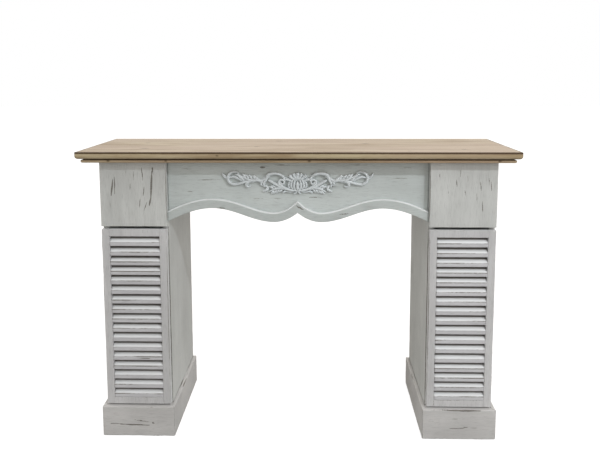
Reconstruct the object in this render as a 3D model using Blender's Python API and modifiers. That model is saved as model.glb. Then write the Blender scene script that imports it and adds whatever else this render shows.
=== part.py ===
"""Free-standing decorative fireplace surround in painted wood with a plain fir shelf.

Two box pillars carry a thick fir shelf. Each pillar is a narrow cupboard with a fixed head
panel, a louvred door hung on slim butt hinges, a floor board and a back panel, and it stands
in a skirting plinth. A frieze with a serpentine lower edge and a raised border joins the
pillars, and a carved scroll-and-leaf ornament is fixed to its middle.

Metres, +Z up, +X to the right, -Y to the room. The origin is on the floor, in the middle of
the shelf's width and depth.
"""

import math

import bmesh
import bpy
from mathutils import Vector

# Air left between pieces that touch
TOUCH_GAP = 0.0003

# Pillars
OPENING_WIDTH = 0.786
PILLAR_WIDTH = 0.200
CARCASS_DEPTH = 0.337
SIDE_THICKNESS = 0.018
BACK_THICKNESS = 0.006
FLOOR_THICKNESS = 0.015
HEAD_HEIGHT = 0.197
HEAD_THICKNESS = 0.020
HEAD_GAP = 0.008

# Plinths
PLINTH_HEIGHT = 0.095
PLINTH_PROUD = 0.012
PLINTH_ARRIS = 0.003

# Doors
DOOR_THICKNESS = 0.020
DOOR_REVEAL = 0.0015
DOOR_FOOT_GAP = 0.004
STILE_WIDTH = 0.0225
TOP_RAIL_HEIGHT = 0.022
BOTTOM_RAIL_HEIGHT = 0.021
SLAT_COUNT = 17
SLAT_PITCH = 0.030
SLAT_LIP_HEIGHT = 0.012
SLAT_DEPTH = 0.018

# Hinges, which lie in the gap between a door and its pillar
HINGE_GAP = 0.003
HINGE_HEIGHT = 0.050
HINGE_INSET = 0.060
LEAF_THICKNESS = 0.0009
LEAF_WIDTH = 0.013
KNUCKLE_RADIUS = 0.0013
KNUCKLE_SETBACK = 0.0009
PIN_RADIUS = 0.0006
PIN_CLEARANCE = 0.0002
LINK_EASE = 0.0005
KNUCKLE_SIDES = 12

# Shelf and the moulded board under it
SHELF_FRONT_OVERHANG = 0.040
SHELF_SIDE_OVERHANG = 0.057
SHELF_THICKNESS = 0.021
SHELF_TOP_ARRIS = 0.0015
SHELF_ROUNDING = 0.009
UNDER_HEIGHT = 0.012
UNDER_REVEAL = 0.013
QUIRK_HEIGHT = 0.0035
QUIRK_DEPTH = 0.005
UNDER_ROUNDING = 0.005

# Frieze: how far its lower edge lies below the boards on top, along half of its length
FRIEZE_THICKNESS = 0.018
CUSP_DROP = 0.156
TROUGH_DROP = 0.184
TROUGH_X = 0.070
CREST_DROP = 0.142
CREST_X = 0.256
END_DROP = 0.183
BORDER_WIDTH = 0.028
BORDER_PROUD = 0.012
BORDER_ARRIS = 0.0035
EDGE_STEPS = 12

# Ornament
ORNAMENT_LENGTH = 0.459
ORNAMENT_DROP = 0.067
ORNAMENT_RELIEF = 0.013
ORNAMENT_VOXEL = 0.0014
ORNAMENT_KEEP = 0.068

# Carved strokes, in shares of half of the ornament's length: how far the highest one stands
# out, then the half widths from root to tip and the lift of a leaf's rib and of its lobes
STROKE_REACH = 0.044
RIB_WIDTHS = (0.014, 0.018, 0.006)
RIB_LIFT = 0.018
RIB_STEPS = 4
LOBE_WIDTHS = (0.012, 0.018, 0.008)
LOBE_LIFT = 0.010

# Where a leaf's lobes start along its rib, and how their length swells and falls along it
FIRST_LOBE = 0.10
LOBE_SPAN = 0.68
SWELL_START = 0.25
SWELL_SPAN = 0.6

# How far along and across a lobe's middle and tip lie: along the rib, by its reach, across
LOBE_MIDDLE = (0.10, 0.25, 0.6)
LOBE_TIP = (0.16, 0.6, 1.0)

# Small chamfer on sawn and painted boards, given to corners sharper than an angle
BOARD_ARRIS = 0.0012
SHARP_ANGLE = math.radians(40)

# Points closer than this are one point
MERGE_DISTANCE = 0.00001

# Levels above the floor
DOOR_BOTTOM = PLINTH_HEIGHT + DOOR_FOOT_GAP
DOOR_HEIGHT = BOTTOM_RAIL_HEIGHT + SLAT_COUNT * SLAT_PITCH + TOP_RAIL_HEIGHT
DOOR_TOP = DOOR_BOTTOM + DOOR_HEIGHT
HEAD_BOTTOM = DOOR_TOP + HEAD_GAP
CARCASS_TOP = HEAD_BOTTOM + HEAD_HEIGHT
UNDER_BOTTOM = CARCASS_TOP + TOUCH_GAP
UNDER_TOP = UNDER_BOTTOM + UNDER_HEIGHT
SHELF_BOTTOM = UNDER_TOP + TOUCH_GAP
SHELF_TOP = SHELF_BOTTOM + SHELF_THICKNESS

# Planes from back to front
SHELF_DEPTH = CARCASS_DEPTH + HINGE_GAP + DOOR_THICKNESS + SHELF_FRONT_OVERHANG
BACK_Y = SHELF_DEPTH / 2
CARCASS_FRONT = BACK_Y - CARCASS_DEPTH
HINGE_Y = CARCASS_FRONT - HINGE_GAP / 2
DOOR_BACK = CARCASS_FRONT - HINGE_GAP
DOOR_FACE = DOOR_BACK - DOOR_THICKNESS
PLINTH_FACE = DOOR_FACE - PLINTH_PROUD
SHELF_FACE = -SHELF_DEPTH / 2

# Planes from the middle to the sides
INNER_X = OPENING_WIDTH / 2
OUTER_X = INNER_X + PILLAR_WIDTH
HINGE_X = OUTER_X - KNUCKLE_SETBACK - KNUCKLE_RADIUS
SHELF_WIDTH = 2 * (OUTER_X + SHELF_SIDE_OVERHANG)

SIDES = {"left": -1, "right": 1}


def clear_scene():
    """Remove every object that the scene starts with."""
    for item in list(bpy.data.objects):
        bpy.data.objects.remove(item, do_unlink=True)


def make_collection(name):
    """Return a new collection linked to the scene."""
    collection = bpy.data.collections.new(name)
    bpy.context.scene.collection.children.link(collection)
    return collection


def make_material(name, colour, roughness, metallic=0.0):
    """Return a Principled material of one colour."""
    material = bpy.data.materials.new(name)
    material.use_nodes = True
    shader = material.node_tree.nodes["Principled BSDF"]
    shader.inputs["Base Color"].default_value = (*colour, 1.0)
    shader.inputs["Roughness"].default_value = roughness
    shader.inputs["Metallic"].default_value = metallic
    return material


def add_mesh(name, mesh, material, collection):
    """Put a mesh into the collection as a named object."""
    mesh.materials.clear()
    mesh.materials.append(material)
    item = bpy.data.objects.new(name, mesh)
    collection.objects.link(item)
    return item


def add_box(name, low, high, material, collection, arris=0.0):
    """Add a board between two corners, with its edges eased by arris."""
    low = Vector(low)
    high = Vector(high)
    work = bmesh.new()
    bmesh.ops.create_cube(work, size=1.0)
    bmesh.ops.scale(work, vec=high - low, verts=work.verts)
    mesh = bpy.data.meshes.new(name)
    work.to_mesh(mesh)
    work.free()
    item = add_mesh(name, mesh, material, collection)
    item.location = (low + high) / 2
    if arris > 0:
        ease_edges(item, arris, 1)
    return item


def ease_edges(item, width, segments):
    """Round every outward corner of an object, and leave its inward corners square."""
    work = bmesh.new()
    work.from_mesh(item.data)
    weights = work.edges.layers.float.new("bevel_weight_edge")
    for edge in work.edges:
        if edge.calc_face_angle_signed() > SHARP_ANGLE:
            edge[weights] = 1.0
    work.to_mesh(item.data)
    work.free()
    bevel = item.modifiers.new("eased edges", "BEVEL")
    bevel.width = width
    bevel.segments = segments
    bevel.limit_method = "WEIGHT"


def flat_mesh(name, outlines, thickness):
    """Return a closed sheet of the given thickness, filled between flat outlines in XY."""
    curve = bpy.data.curves.new(name, "CURVE")
    curve.dimensions = "2D"
    curve.fill_mode = "BOTH"
    curve.extrude = thickness / 2
    for outline in outlines:
        spline = curve.splines.new("POLY")
        spline.points.add(len(outline) - 1)
        for point, (x, y) in zip(spline.points, outline):
            point.co = (x, y, 0.0, 1.0)
        spline.use_cyclic_u = True
    carrier = bpy.data.objects.new(name, curve)
    bpy.context.scene.collection.objects.link(carrier)
    bpy.context.view_layer.update()
    mesh = bpy.data.meshes.new_from_object(
        carrier.evaluated_get(bpy.context.evaluated_depsgraph_get()))
    mesh.name = name
    bpy.data.objects.remove(carrier, do_unlink=True)
    work = bmesh.new()
    work.from_mesh(mesh)
    bmesh.ops.remove_doubles(work, verts=work.verts, dist=MERGE_DISTANCE)
    work.to_mesh(mesh)
    work.free()
    return mesh


def upright(mesh):
    """Turn a flat mesh so that its +Y becomes +Z and its faces look along Y."""
    for vertex in mesh.vertices:
        x, y, z = vertex.co
        vertex.co = (x, -z, y)


def arc(centre, radius, start, end, steps):
    """Return points on an arc between two angles in degrees, both ends included."""
    points = []
    for step in range(steps + 1):
        angle = math.radians(start + (end - start) * step / steps)
        points.append((centre[0] + radius * math.cos(angle),
                       centre[1] + radius * math.sin(angle)))
    return points


def add_moulded_board(name, width, face, profile, material, collection):
    """Add a board whose edge profile runs along its front and both ends.

    The profile holds (inset, height) pairs from the bottom up. The back edge stays square.
    """
    work = bmesh.new()
    rings = []
    for inset, height in profile:
        x = width / 2 - inset
        corners = [(-x, BACK_Y), (-x, face + inset), (x, face + inset), (x, BACK_Y)]
        rings.append([work.verts.new((*corner, height)) for corner in corners])
    work.faces.new(list(reversed(rings[0])))
    work.faces.new(rings[-1])
    for lower, upper in zip(rings, rings[1:]):
        for here in range(4):
            there = (here + 1) % 4
            work.faces.new((lower[here], lower[there], upper[there], upper[here]))
    bmesh.ops.recalc_face_normals(work, faces=work.faces)
    mesh = bpy.data.meshes.new(name)
    work.to_mesh(mesh)
    work.free()
    return add_mesh(name, mesh, material, collection)


def make_shelf(material, collection):
    """Shelf board with a rounded lower edge."""
    profile = arc((SHELF_ROUNDING, SHELF_BOTTOM + SHELF_ROUNDING), SHELF_ROUNDING, 270, 180, 5)
    profile.append((0.0, SHELF_TOP - SHELF_TOP_ARRIS))
    profile.append((SHELF_TOP_ARRIS, SHELF_TOP))
    add_moulded_board("shelf_board", SHELF_WIDTH, SHELF_FACE, profile, material, collection)


def make_under_board(material, collection):
    """Board under the shelf: a rounded bead below a small square quirk."""
    quirk_bottom = UNDER_TOP - QUIRK_HEIGHT
    profile = arc((UNDER_ROUNDING, UNDER_BOTTOM + UNDER_ROUNDING), UNDER_ROUNDING, 270, 180, 4)
    profile.append((0.0, quirk_bottom))
    profile.append((QUIRK_DEPTH, quirk_bottom))
    profile.append((QUIRK_DEPTH, UNDER_TOP))
    add_moulded_board("under_board", SHELF_WIDTH - 2 * UNDER_REVEAL,
                      SHELF_FACE + UNDER_REVEAL, profile, material, collection)


def span(side, near, far):
    """Return a low and a high x for a stretch between two distances from the middle."""
    ends = sorted((side * near, side * far))
    return ends[0], ends[1]


def make_carcass(word, side, material, collection):
    """Side boards, back panel and floor board of one pillar."""
    boards = {
        "inner_side": (INNER_X, INNER_X + SIDE_THICKNESS),
        "outer_side": (OUTER_X - SIDE_THICKNESS, OUTER_X),
    }
    for board, (near, far) in boards.items():
        low, high = span(side, near, far)
        add_box(f"{board}_{word}", (low, CARCASS_FRONT, 0.0), (high, BACK_Y, CARCASS_TOP),
                material, collection, BOARD_ARRIS)
    low, high = span(side, INNER_X + SIDE_THICKNESS + TOUCH_GAP,
                     OUTER_X - SIDE_THICKNESS - TOUCH_GAP)
    back_front = BACK_Y - BACK_THICKNESS
    add_box(f"back_panel_{word}", (low, back_front, 0.0), (high, BACK_Y, CARCASS_TOP),
            material, collection)
    add_box(f"floor_board_{word}", (low, CARCASS_FRONT, PLINTH_HEIGHT - FLOOR_THICKNESS),
            (high, back_front - TOUCH_GAP, PLINTH_HEIGHT), material, collection)


def make_head_panel(word, side, material, collection):
    """Fixed board over the door, on the front edges of the pillar."""
    low, high = span(side, INNER_X, OUTER_X)
    back = CARCASS_FRONT - TOUCH_GAP
    add_box(f"head_panel_{word}", (low, back - HEAD_THICKNESS, HEAD_BOTTOM),
            (high, back, CARCASS_TOP), material, collection, BOARD_ARRIS)


def make_plinth(word, side, material, collection):
    """Skirting round the foot of one pillar, open at the back."""
    near = INNER_X - PLINTH_PROUD
    far = OUTER_X + PLINTH_PROUD
    seat_near = INNER_X - TOUCH_GAP
    seat_far = OUTER_X + TOUCH_GAP
    seat_front = CARCASS_FRONT - TOUCH_GAP
    outline = [(near, PLINTH_FACE), (far, PLINTH_FACE), (far, BACK_Y), (seat_far, BACK_Y),
               (seat_far, seat_front), (seat_near, seat_front), (seat_near, BACK_Y),
               (near, BACK_Y)]
    if side < 0:
        outline = [(-x, y) for x, y in reversed(outline)]
    name = f"plinth_{word}"
    item = add_mesh(name, flat_mesh(name, [outline], PLINTH_HEIGHT), material, collection)
    item.location.z = PLINTH_HEIGHT / 2
    ease_edges(item, PLINTH_ARRIS, 2)


def make_door(word, side, pivot, material, collection):
    """Louvred door: one frame of stiles and rails, and the slats between the stiles."""
    near = INNER_X + DOOR_REVEAL
    far = OUTER_X - DOOR_REVEAL
    low, high = span(side, near, far)
    hole_low, hole_high = span(side, near + STILE_WIDTH, far - STILE_WIDTH)
    hole_bottom = DOOR_BOTTOM + BOTTOM_RAIL_HEIGHT
    hole_top = DOOR_TOP - TOP_RAIL_HEIGHT
    outer = [(low, DOOR_BOTTOM), (high, DOOR_BOTTOM), (high, DOOR_TOP), (low, DOOR_TOP)]
    inner = [(hole_low, hole_bottom), (hole_low, hole_top), (hole_high, hole_top),
             (hole_high, hole_bottom)]
    name = f"door_frame_{word}"
    mesh = flat_mesh(name, [outer, inner], DOOR_THICKNESS)
    upright(mesh)
    frame = add_mesh(name, mesh, material, collection)
    frame.location.y = DOOR_BACK - DOOR_THICKNESS / 2
    ease_edges(frame, BOARD_ARRIS, 1)
    hang(frame, pivot)

    length = hole_high - hole_low - 2 * TOUCH_GAP
    slat = make_slat_mesh(length)
    middle = (hole_low + hole_high) / 2
    for number in range(1, SLAT_COUNT + 1):
        item = add_mesh(f"slat_{word}_{number:02d}", slat, material, collection)
        level = hole_top - number * SLAT_PITCH + TOUCH_GAP
        item.location = (middle, DOOR_FACE, level)
        hang(item, pivot)


def make_slat_mesh(length):
    """Return a slat that rises to the back from a flush front lip.

    Its lip starts at the mesh's own origin, and it fills one pitch less the touching gaps.
    """
    rise = SLAT_PITCH - SLAT_LIP_HEIGHT - 2 * TOUCH_GAP
    section = [(0.0, 0.0), (SLAT_DEPTH, rise), (SLAT_DEPTH, rise + SLAT_LIP_HEIGHT),
               (0.0, SLAT_LIP_HEIGHT)]
    mesh = flat_mesh("slat", [section], length)
    for vertex in mesh.vertices:
        y, z, x = vertex.co
        vertex.co = (x, y, z)
    return mesh


def hang(item, pivot):
    """Parent an object to a pivot and keep it where it stands."""
    item.parent = pivot
    item.matrix_parent_inverse = pivot.matrix_world.inverted()


def make_pivot(word, side, collection):
    """Return the empty on one door's hinge axis."""
    pivot = bpy.data.objects.new(f"door_pivot_{word}", None)
    pivot.location = (side * HINGE_X, HINGE_Y, DOOR_BOTTOM)
    collection.objects.link(pivot)
    bpy.context.view_layer.update()
    return pivot


def add_tool(name, mesh, tools):
    """Add a hidden helper that another object is joined with or cut by."""
    item = bpy.data.objects.new(name, mesh)
    item.hide_render = True
    item.display_type = "WIRE"
    tools.objects.link(item)
    return item


def add_rod(name, x, bottom, top, radius, tools):
    """Add an upright cylinder on a hinge axis to the tools."""
    work = bmesh.new()
    bmesh.ops.create_cone(work, cap_ends=True, segments=KNUCKLE_SIDES, radius1=radius,
                          radius2=radius, depth=top - bottom)
    mesh = bpy.data.meshes.new(name)
    work.to_mesh(mesh)
    work.free()
    item = add_tool(name, mesh, tools)
    item.location = (x, HINGE_Y, (bottom + top) / 2)
    return item


def combine(item, tool, operation):
    """Join a tool to an object, or cut it out, with an exact Boolean."""
    boolean = item.modifiers.new(tool.name, "BOOLEAN")
    boolean.operation = operation
    boolean.solver = "EXACT"
    boolean.object = tool


def make_leaf(name, side, middle_y, bottom, links, material, collection):
    """Add a hinge leaf: a plate along the gap with links that reach its own knuckles."""
    edge = KNUCKLE_RADIUS + PIN_CLEARANCE
    root = PIN_RADIUS + PIN_CLEARANCE + TOUCH_GAP / 2
    outline = [(edge, 0.0), (LEAF_WIDTH, 0.0), (LEAF_WIDTH, HINGE_HEIGHT), (edge, HINGE_HEIGHT)]
    for low, high in reversed(links):
        outline += [(edge, high - LINK_EASE), (root, high - LINK_EASE),
                    (root, low + LINK_EASE), (edge, low + LINK_EASE)]
    outline = [(-side * x, z) for x, z in outline]
    mesh = flat_mesh(name, [outline], LEAF_THICKNESS)
    upright(mesh)
    leaf = add_mesh(name, mesh, material, collection)
    leaf.location = (side * HINGE_X, middle_y, bottom)
    return leaf


def make_hinge(word, side, place, bottom, pivot, material, collection, tools):
    """Slim butt hinge: a leaf on the pillar with the pin, and a leaf on the door."""
    x = side * HINGE_X
    third = HINGE_HEIGHT / 3
    leaf_offset = TOUCH_GAP + LEAF_THICKNESS / 2

    name = f"hinge_{place}_pillar_leaf_{word}"
    links = [(0.0, third - PIN_CLEARANCE), (2 * third + PIN_CLEARANCE, HINGE_HEIGHT)]
    leaf = make_leaf(name, side, CARCASS_FRONT - leaf_offset, bottom, links, material,
                     collection)
    combine(leaf, add_rod(f"{name}_pin", x, bottom + third / 2, bottom + HINGE_HEIGHT - third / 2,
                          PIN_RADIUS, tools), "UNION")
    for low, high in links:
        combine(leaf, add_rod(f"{name}_knuckle_{low:.3f}", x, bottom + low, bottom + high,
                              KNUCKLE_RADIUS, tools), "UNION")

    name = f"hinge_{place}_door_leaf_{word}"
    links = [(third + PIN_CLEARANCE, 2 * third - PIN_CLEARANCE)]
    leaf = make_leaf(name, side, DOOR_BACK + leaf_offset, bottom, links, material, collection)
    low, high = links[0]
    combine(leaf, add_rod(f"{name}_knuckle", x, bottom + low, bottom + high,
                          KNUCKLE_RADIUS, tools), "UNION")
    combine(leaf, add_rod(f"{name}_bore", x, bottom, bottom + HINGE_HEIGHT,
                          PIN_RADIUS + PIN_CLEARANCE, tools), "DIFFERENCE")
    hang(leaf, pivot)


def frieze_edge():
    """Return the lower edge from the middle to the right end as (x, z, slope) samples.

    It falls from a cusp to a trough, rises in a wave to a crest and falls to the end.
    """
    end_x = INNER_X - TOUCH_GAP
    samples = []
    for step in range(EDGE_STEPS):
        share = step / EDGE_STEPS
        rise = TROUGH_DROP - CUSP_DROP
        samples.append((share * TROUGH_X, TROUGH_DROP - rise * (1 - share) ** 2,
                        2 * rise * (1 - share) / TROUGH_X))
    length = CREST_X - TROUGH_X
    for step in range(EDGE_STEPS):
        share = step / EDGE_STEPS
        rise = TROUGH_DROP - CREST_DROP
        samples.append((TROUGH_X + share * length,
                        TROUGH_DROP - rise * (1 - math.cos(math.pi * share)) / 2,
                        -rise * math.pi / 2 * math.sin(math.pi * share) / length))
    length = end_x - CREST_X
    for step in range(EDGE_STEPS + 1):
        share = step / EDGE_STEPS
        rise = END_DROP - CREST_DROP
        samples.append((CREST_X + share * length,
                        CREST_DROP + rise * (1 - math.cos(math.pi / 2 * share)),
                        rise * math.pi / 2 * math.sin(math.pi / 2 * share) / length))
    return [(x, CARCASS_TOP - drop, -slope) for x, drop, slope in samples]


def edge_offset(sample, across):
    """Return the point above one sample of the edge, a distance across the border from it.

    Each section is upright and stretched by the slope, so the cusp and the ends are mitred.
    """
    x, z, slope = sample
    return x, z + across * math.hypot(1.0, slope)


def border_section():
    """Return (across, y) points round the border's section, eased at its front edges."""
    front = CARCASS_FRONT - BORDER_PROUD
    back = CARCASS_FRONT + FRIEZE_THICKNESS
    upper = arc((BORDER_WIDTH - BORDER_ARRIS, front + BORDER_ARRIS), BORDER_ARRIS, 0, -90, 3)
    lower = arc((BOARD_ARRIS, front + BOARD_ARRIS), BOARD_ARRIS, -90, -180, 1)
    return [(0.0, back), (BORDER_WIDTH, back)] + upper + lower


def make_frieze(material, collection, tools):
    """Frieze board with a raised border along its serpentine lower edge, in one piece."""
    samples = frieze_edge()
    half = []
    for sample in samples:
        half.append([(*edge_offset(sample, across), y) for across, y in border_section()])
    rings = [[(-x, z, y) for x, z, y in ring] for ring in reversed(half[1:])] + half
    work = bmesh.new()
    made = [[work.verts.new((x, y, z)) for x, z, y in ring] for ring in rings]
    work.faces.new(list(reversed(made[0])))
    work.faces.new(made[-1])
    size = len(made[0])
    for ring, following in zip(made, made[1:]):
        for here in range(size):
            there = (here + 1) % size
            work.faces.new((ring[here], ring[there], following[there], following[here]))
    mesh = bpy.data.meshes.new("border")
    work.to_mesh(mesh)
    work.free()
    border = add_tool("frieze_border", mesh, tools)

    middle = [edge_offset(sample, BORDER_WIDTH / 2) for sample in samples]
    top = CARCASS_TOP
    outline = [(-x, z) for x, z in reversed(middle[1:])] + middle
    outline += [(middle[-1][0], top), (-middle[-1][0], top)]
    board_mesh = flat_mesh("frieze", [outline], FRIEZE_THICKNESS)
    upright(board_mesh)
    frieze = add_mesh("frieze", board_mesh, material, collection)
    frieze.location.y = CARCASS_FRONT + FRIEZE_THICKNESS / 2
    combine(frieze, border, "UNION")


def oval(centre, radii, start, end, steps=9):
    """Return points along part of an oval, between two angles in degrees."""
    points = []
    for step in range(steps + 1):
        angle = math.radians(start + (end - start) * step / steps)
        points.append((centre[0] + radii[0] * math.cos(angle),
                       centre[1] + radii[1] * math.sin(angle)))
    return points


def volute(centre, radius, start, turns, keep, steps=9):
    """Return points on a spiral that tightens from a radius to the share kept of it."""
    points = []
    for step in range(steps + 1):
        share = step / steps
        angle = math.radians(start + 360 * turns * share)
        size = radius * (1 - (1 - keep) * share)
        points.append((centre[0] + size * math.cos(angle), centre[1] + size * math.sin(angle)))
    return points


def tapered(points, sizes, lift):
    """Pair the points of one carved stroke with widths read evenly from a few sizes."""
    stroke = []
    for number, point in enumerate(points):
        place = number / (len(points) - 1) * (len(sizes) - 1)
        first = min(int(place), len(sizes) - 2)
        size = sizes[first] + (sizes[first + 1] - sizes[first]) * (place - first)
        stroke.append((*point, size, lift))
    return stroke


def leaf(root, tip, spread, lobes, bend=0.0):
    """Return the strokes of a carved leaf: a curved rib with lobes on both sides."""
    root = Vector(root)
    along = Vector(tip) - root
    across = along.orthogonal().normalized()
    length = along.length

    def on_rib(share):
        return root + along * share + across * (bend * length * math.sin(math.pi * share))

    rib = [tuple(on_rib(step / RIB_STEPS)) for step in range(RIB_STEPS + 1)]
    strokes = [tapered(rib, RIB_WIDTHS, RIB_LIFT)]
    for number in range(lobes):
        share = FIRST_LOBE + LOBE_SPAN * number / lobes
        reach = spread * math.sin(math.pi * (SWELL_START + SWELL_SPAN * share))
        start = on_rib(share)
        for hand in (-1, 1):
            lobe = [tuple(start)]
            for forward, by_reach, aside in (LOBE_MIDDLE, LOBE_TIP):
                lobe.append(tuple(start + along * (forward + by_reach * reach / length)
                                  + across * hand * reach * aside))
            strokes.append(tapered(lobe, LOBE_WIDTHS, LOBE_LIFT))
    return strokes


def palmette(base):
    """Return the right half of the shell in the middle: a broad fan with a small one on it."""
    strokes = []
    # Petals, degrees between them, their length in the middle and at the side, width, lift
    fans = (
        (5, 11.5, 0.256, 0.27, 0.030, 0.004),
        (6, 13.0, 0.135, 0.12, 0.017, 0.026),
    )
    for count, step_angle, middle_length, side_length, width, lift in fans:
        for number in range(count):
            lean = math.radians(step_angle * number)
            share = number / (count - 1)
            length = middle_length + (side_length - middle_length) * share
            stroke = [(base[0] + length * step / RIB_STEPS * math.sin(lean),
                       base[1] + length * step / RIB_STEPS * math.cos(lean))
                      for step in range(RIB_STEPS + 1)]
            strokes.append(tapered(stroke, [0.010, width, width * 0.75], lift))
    return strokes


def ornament_strokes():
    """Return the strokes of the right half, in shares of half of the ornament's length.

    Each stroke is a list of (across, up, half width, lift) points. Strokes are grouped as
    scrolls and stems, then leaves and curls, then the palmette in the middle.
    """
    base = (0.0, -0.082)
    ring = oval((0.822, 0.069), (0.090, 0.083), 128, -100)
    stem = [(0.740, 0.002), (0.640, 0.034), (0.560, 0.044), (0.470, 0.030)]
    strokes = [tapered(ring + stem, [0.012, 0.021, 0.021, 0.019, 0.022], 0.012)]
    arch = oval((0.300, 0.032), (0.134, 0.100), 180, 50, 7)
    strokes.append(tapered(arch + [(0.412, 0.052), (0.440, -0.004), (0.436, -0.048)],
                           [0.014, 0.018, 0.022, 0.022, 0.010], 0.018))
    rise = [base, (0.060, -0.090), (0.130, -0.076), (0.200, -0.040)]
    strokes.append(tapered(rise + volute((0.204, 0.014), 0.042, -30, 1.15, 0.35),
                           [0.020, 0.018, 0.016, 0.014, 0.013], 0.020))
    strokes.append(tapered([(0.120, -0.086), (0.200, -0.062), (0.280, -0.014), (0.345, 0.024),
                            (0.383, 0.044)], [0.010, 0.022, 0.022, 0.012], 0.016))
    strokes.append(tapered([(0.958, 0.060), (0.955, 0.105), (0.992, 0.140)],
                           [0.018, 0.016, 0.006], 0.006))
    strokes.append(tapered([(0.905, 0.070), (0.830, 0.085), (0.745, 0.050), (0.690, 0.030)],
                           [0.009, 0.020, 0.020, 0.012], 0.010))

    strokes.append(tapered([(0.360, 0.095), (0.420, 0.066), (0.479, 0.036), (0.536, 0.068),
                            (0.574, 0.104)], [0.016, 0.020, 0.020, 0.008], 0.012))
    strokes.append(tapered([(0.610, 0.036), (0.662, 0.004), (0.665, -0.036), (0.610, -0.040)],
                           [0.022, 0.024, 0.018, 0.010], 0.010))
    strokes.append(tapered([(0.455, 0.030), (0.474, -0.006), (0.462, -0.034)],
                           [0.018, 0.018, 0.010], 0.010))
    strokes.append(tapered([(0.425, -0.030), (0.392, -0.060), (0.405, -0.086), (0.455, -0.112)],
                           [0.012, 0.018, 0.020, 0.010], 0.010))
    strokes.append(tapered([base, (0.090, -0.112), (0.160, -0.106), (0.196, -0.124)],
                           [0.016, 0.016, 0.015, 0.014], 0.008))
    strokes.append(tapered([(0.012, -0.090), (0.022, -0.122), (0.050, -0.136)],
                           [0.024, 0.014, 0.010], 0.014))
    strokes += leaf((0.510, 0.040), (0.760, 0.112), 0.052, 4, bend=-0.10)
    strokes += leaf((0.170, -0.058), (0.375, -0.112), 0.056, 4, bend=0.08)
    return strokes + palmette(base)


def make_ornament(material, collection, tools):
    """Carved ornament: its strokes are fused, thinned and cut flat at the back."""
    unit = ORNAMENT_LENGTH / 2
    depth = ORNAMENT_RELIEF / (unit * STROKE_REACH)
    curve = bpy.data.curves.new("ornament_strokes", "CURVE")
    curve.dimensions = "3D"
    curve.bevel_depth = unit
    curve.bevel_resolution = 2
    curve.resolution_u = 4
    curve.use_fill_caps = True
    for stroke in ornament_strokes():
        for hand in (-1, 1):
            spline = curve.splines.new("BEZIER")
            spline.bezier_points.add(len(stroke) - 1)
            for point, (across, up, size, lift) in zip(spline.bezier_points, stroke):
                point.co = (hand * across * unit, -lift * unit, up * unit)
                point.handle_left_type = "AUTO"
                point.handle_right_type = "AUTO"
                point.radius = size
    carrier = bpy.data.objects.new("ornament_strokes", curve)
    collection.objects.link(carrier)
    bpy.context.view_layer.update()
    mesh = bpy.data.meshes.new_from_object(
        carrier.evaluated_get(bpy.context.evaluated_depsgraph_get()))
    bpy.data.objects.remove(carrier, do_unlink=True)
    work = bmesh.new()
    work.from_mesh(mesh)
    bmesh.ops.remove_doubles(work, verts=work.verts, dist=MERGE_DISTANCE)
    bmesh.ops.scale(work, vec=(1.0, depth, 1.0), verts=work.verts)
    work.to_mesh(mesh)
    work.free()
    ornament = add_mesh("ornament", mesh, material, collection)
    back = CARCASS_FRONT - TOUCH_GAP
    ornament.location = (0.0, back, CARCASS_TOP - ORNAMENT_DROP)
    fuse = ornament.modifiers.new("fuse", "REMESH")
    fuse.mode = "VOXEL"
    fuse.voxel_size = ORNAMENT_VOXEL
    thin = ornament.modifiers.new("thin", "DECIMATE")
    thin.ratio = ORNAMENT_KEEP
    slab = bmesh.new()
    bmesh.ops.create_cube(slab, size=1.0)
    bmesh.ops.scale(slab, vec=(ORNAMENT_LENGTH * 2, ORNAMENT_RELIEF * 4, ORNAMENT_LENGTH),
                    verts=slab.verts)
    slab_mesh = bpy.data.meshes.new("wall_side")
    slab.to_mesh(slab_mesh)
    slab.free()
    wall_side = add_tool("ornament_back_cutter", slab_mesh, tools)
    wall_side.location = (0.0, back + ORNAMENT_RELIEF * 2, ornament.location.z)
    combine(ornament, wall_side, "DIFFERENCE")


def build():
    """Build the whole surround."""
    clear_scene()
    collection = make_collection("fireplace_surround")
    tools = make_collection("tools")
    paint = make_material("painted wood", (0.42, 0.44, 0.42), 0.6)
    relief_paint = make_material("painted relief", (0.52, 0.54, 0.54), 0.6)
    fir = make_material("fir", (0.50, 0.38, 0.24), 0.5)
    steel = make_material("hinge steel", (0.45, 0.43, 0.40), 0.4, 1.0)

    make_shelf(fir, collection)
    make_under_board(fir, collection)
    make_frieze(paint, collection, tools)
    make_ornament(relief_paint, collection, tools)
    for word, side in SIDES.items():
        make_carcass(word, side, paint, collection)
        make_head_panel(word, side, paint, collection)
        make_plinth(word, side, paint, collection)
        pivot = make_pivot(word, side, collection)
        make_door(word, side, pivot, paint, collection)
        bottoms = {"lower": DOOR_BOTTOM + HINGE_INSET,
                   "upper": DOOR_TOP - HINGE_INSET - HINGE_HEIGHT}
        for place, bottom in bottoms.items():
            make_hinge(word, side, place, bottom, pivot, steel, collection, tools)


build()
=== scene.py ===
"""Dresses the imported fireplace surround: rubbed paint, carved relief, waxed fir and dull steel.

Metres, +Z up, +X to the viewer's right and -Y to the room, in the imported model's own frame.
"""

import logging
import math
from dataclasses import dataclass
from enum import Enum
from typing import Any, Callable, Iterable, Sequence, Union

import bmesh
import bpy
import numpy as np
from mathutils import Euler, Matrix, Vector, noise


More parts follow.
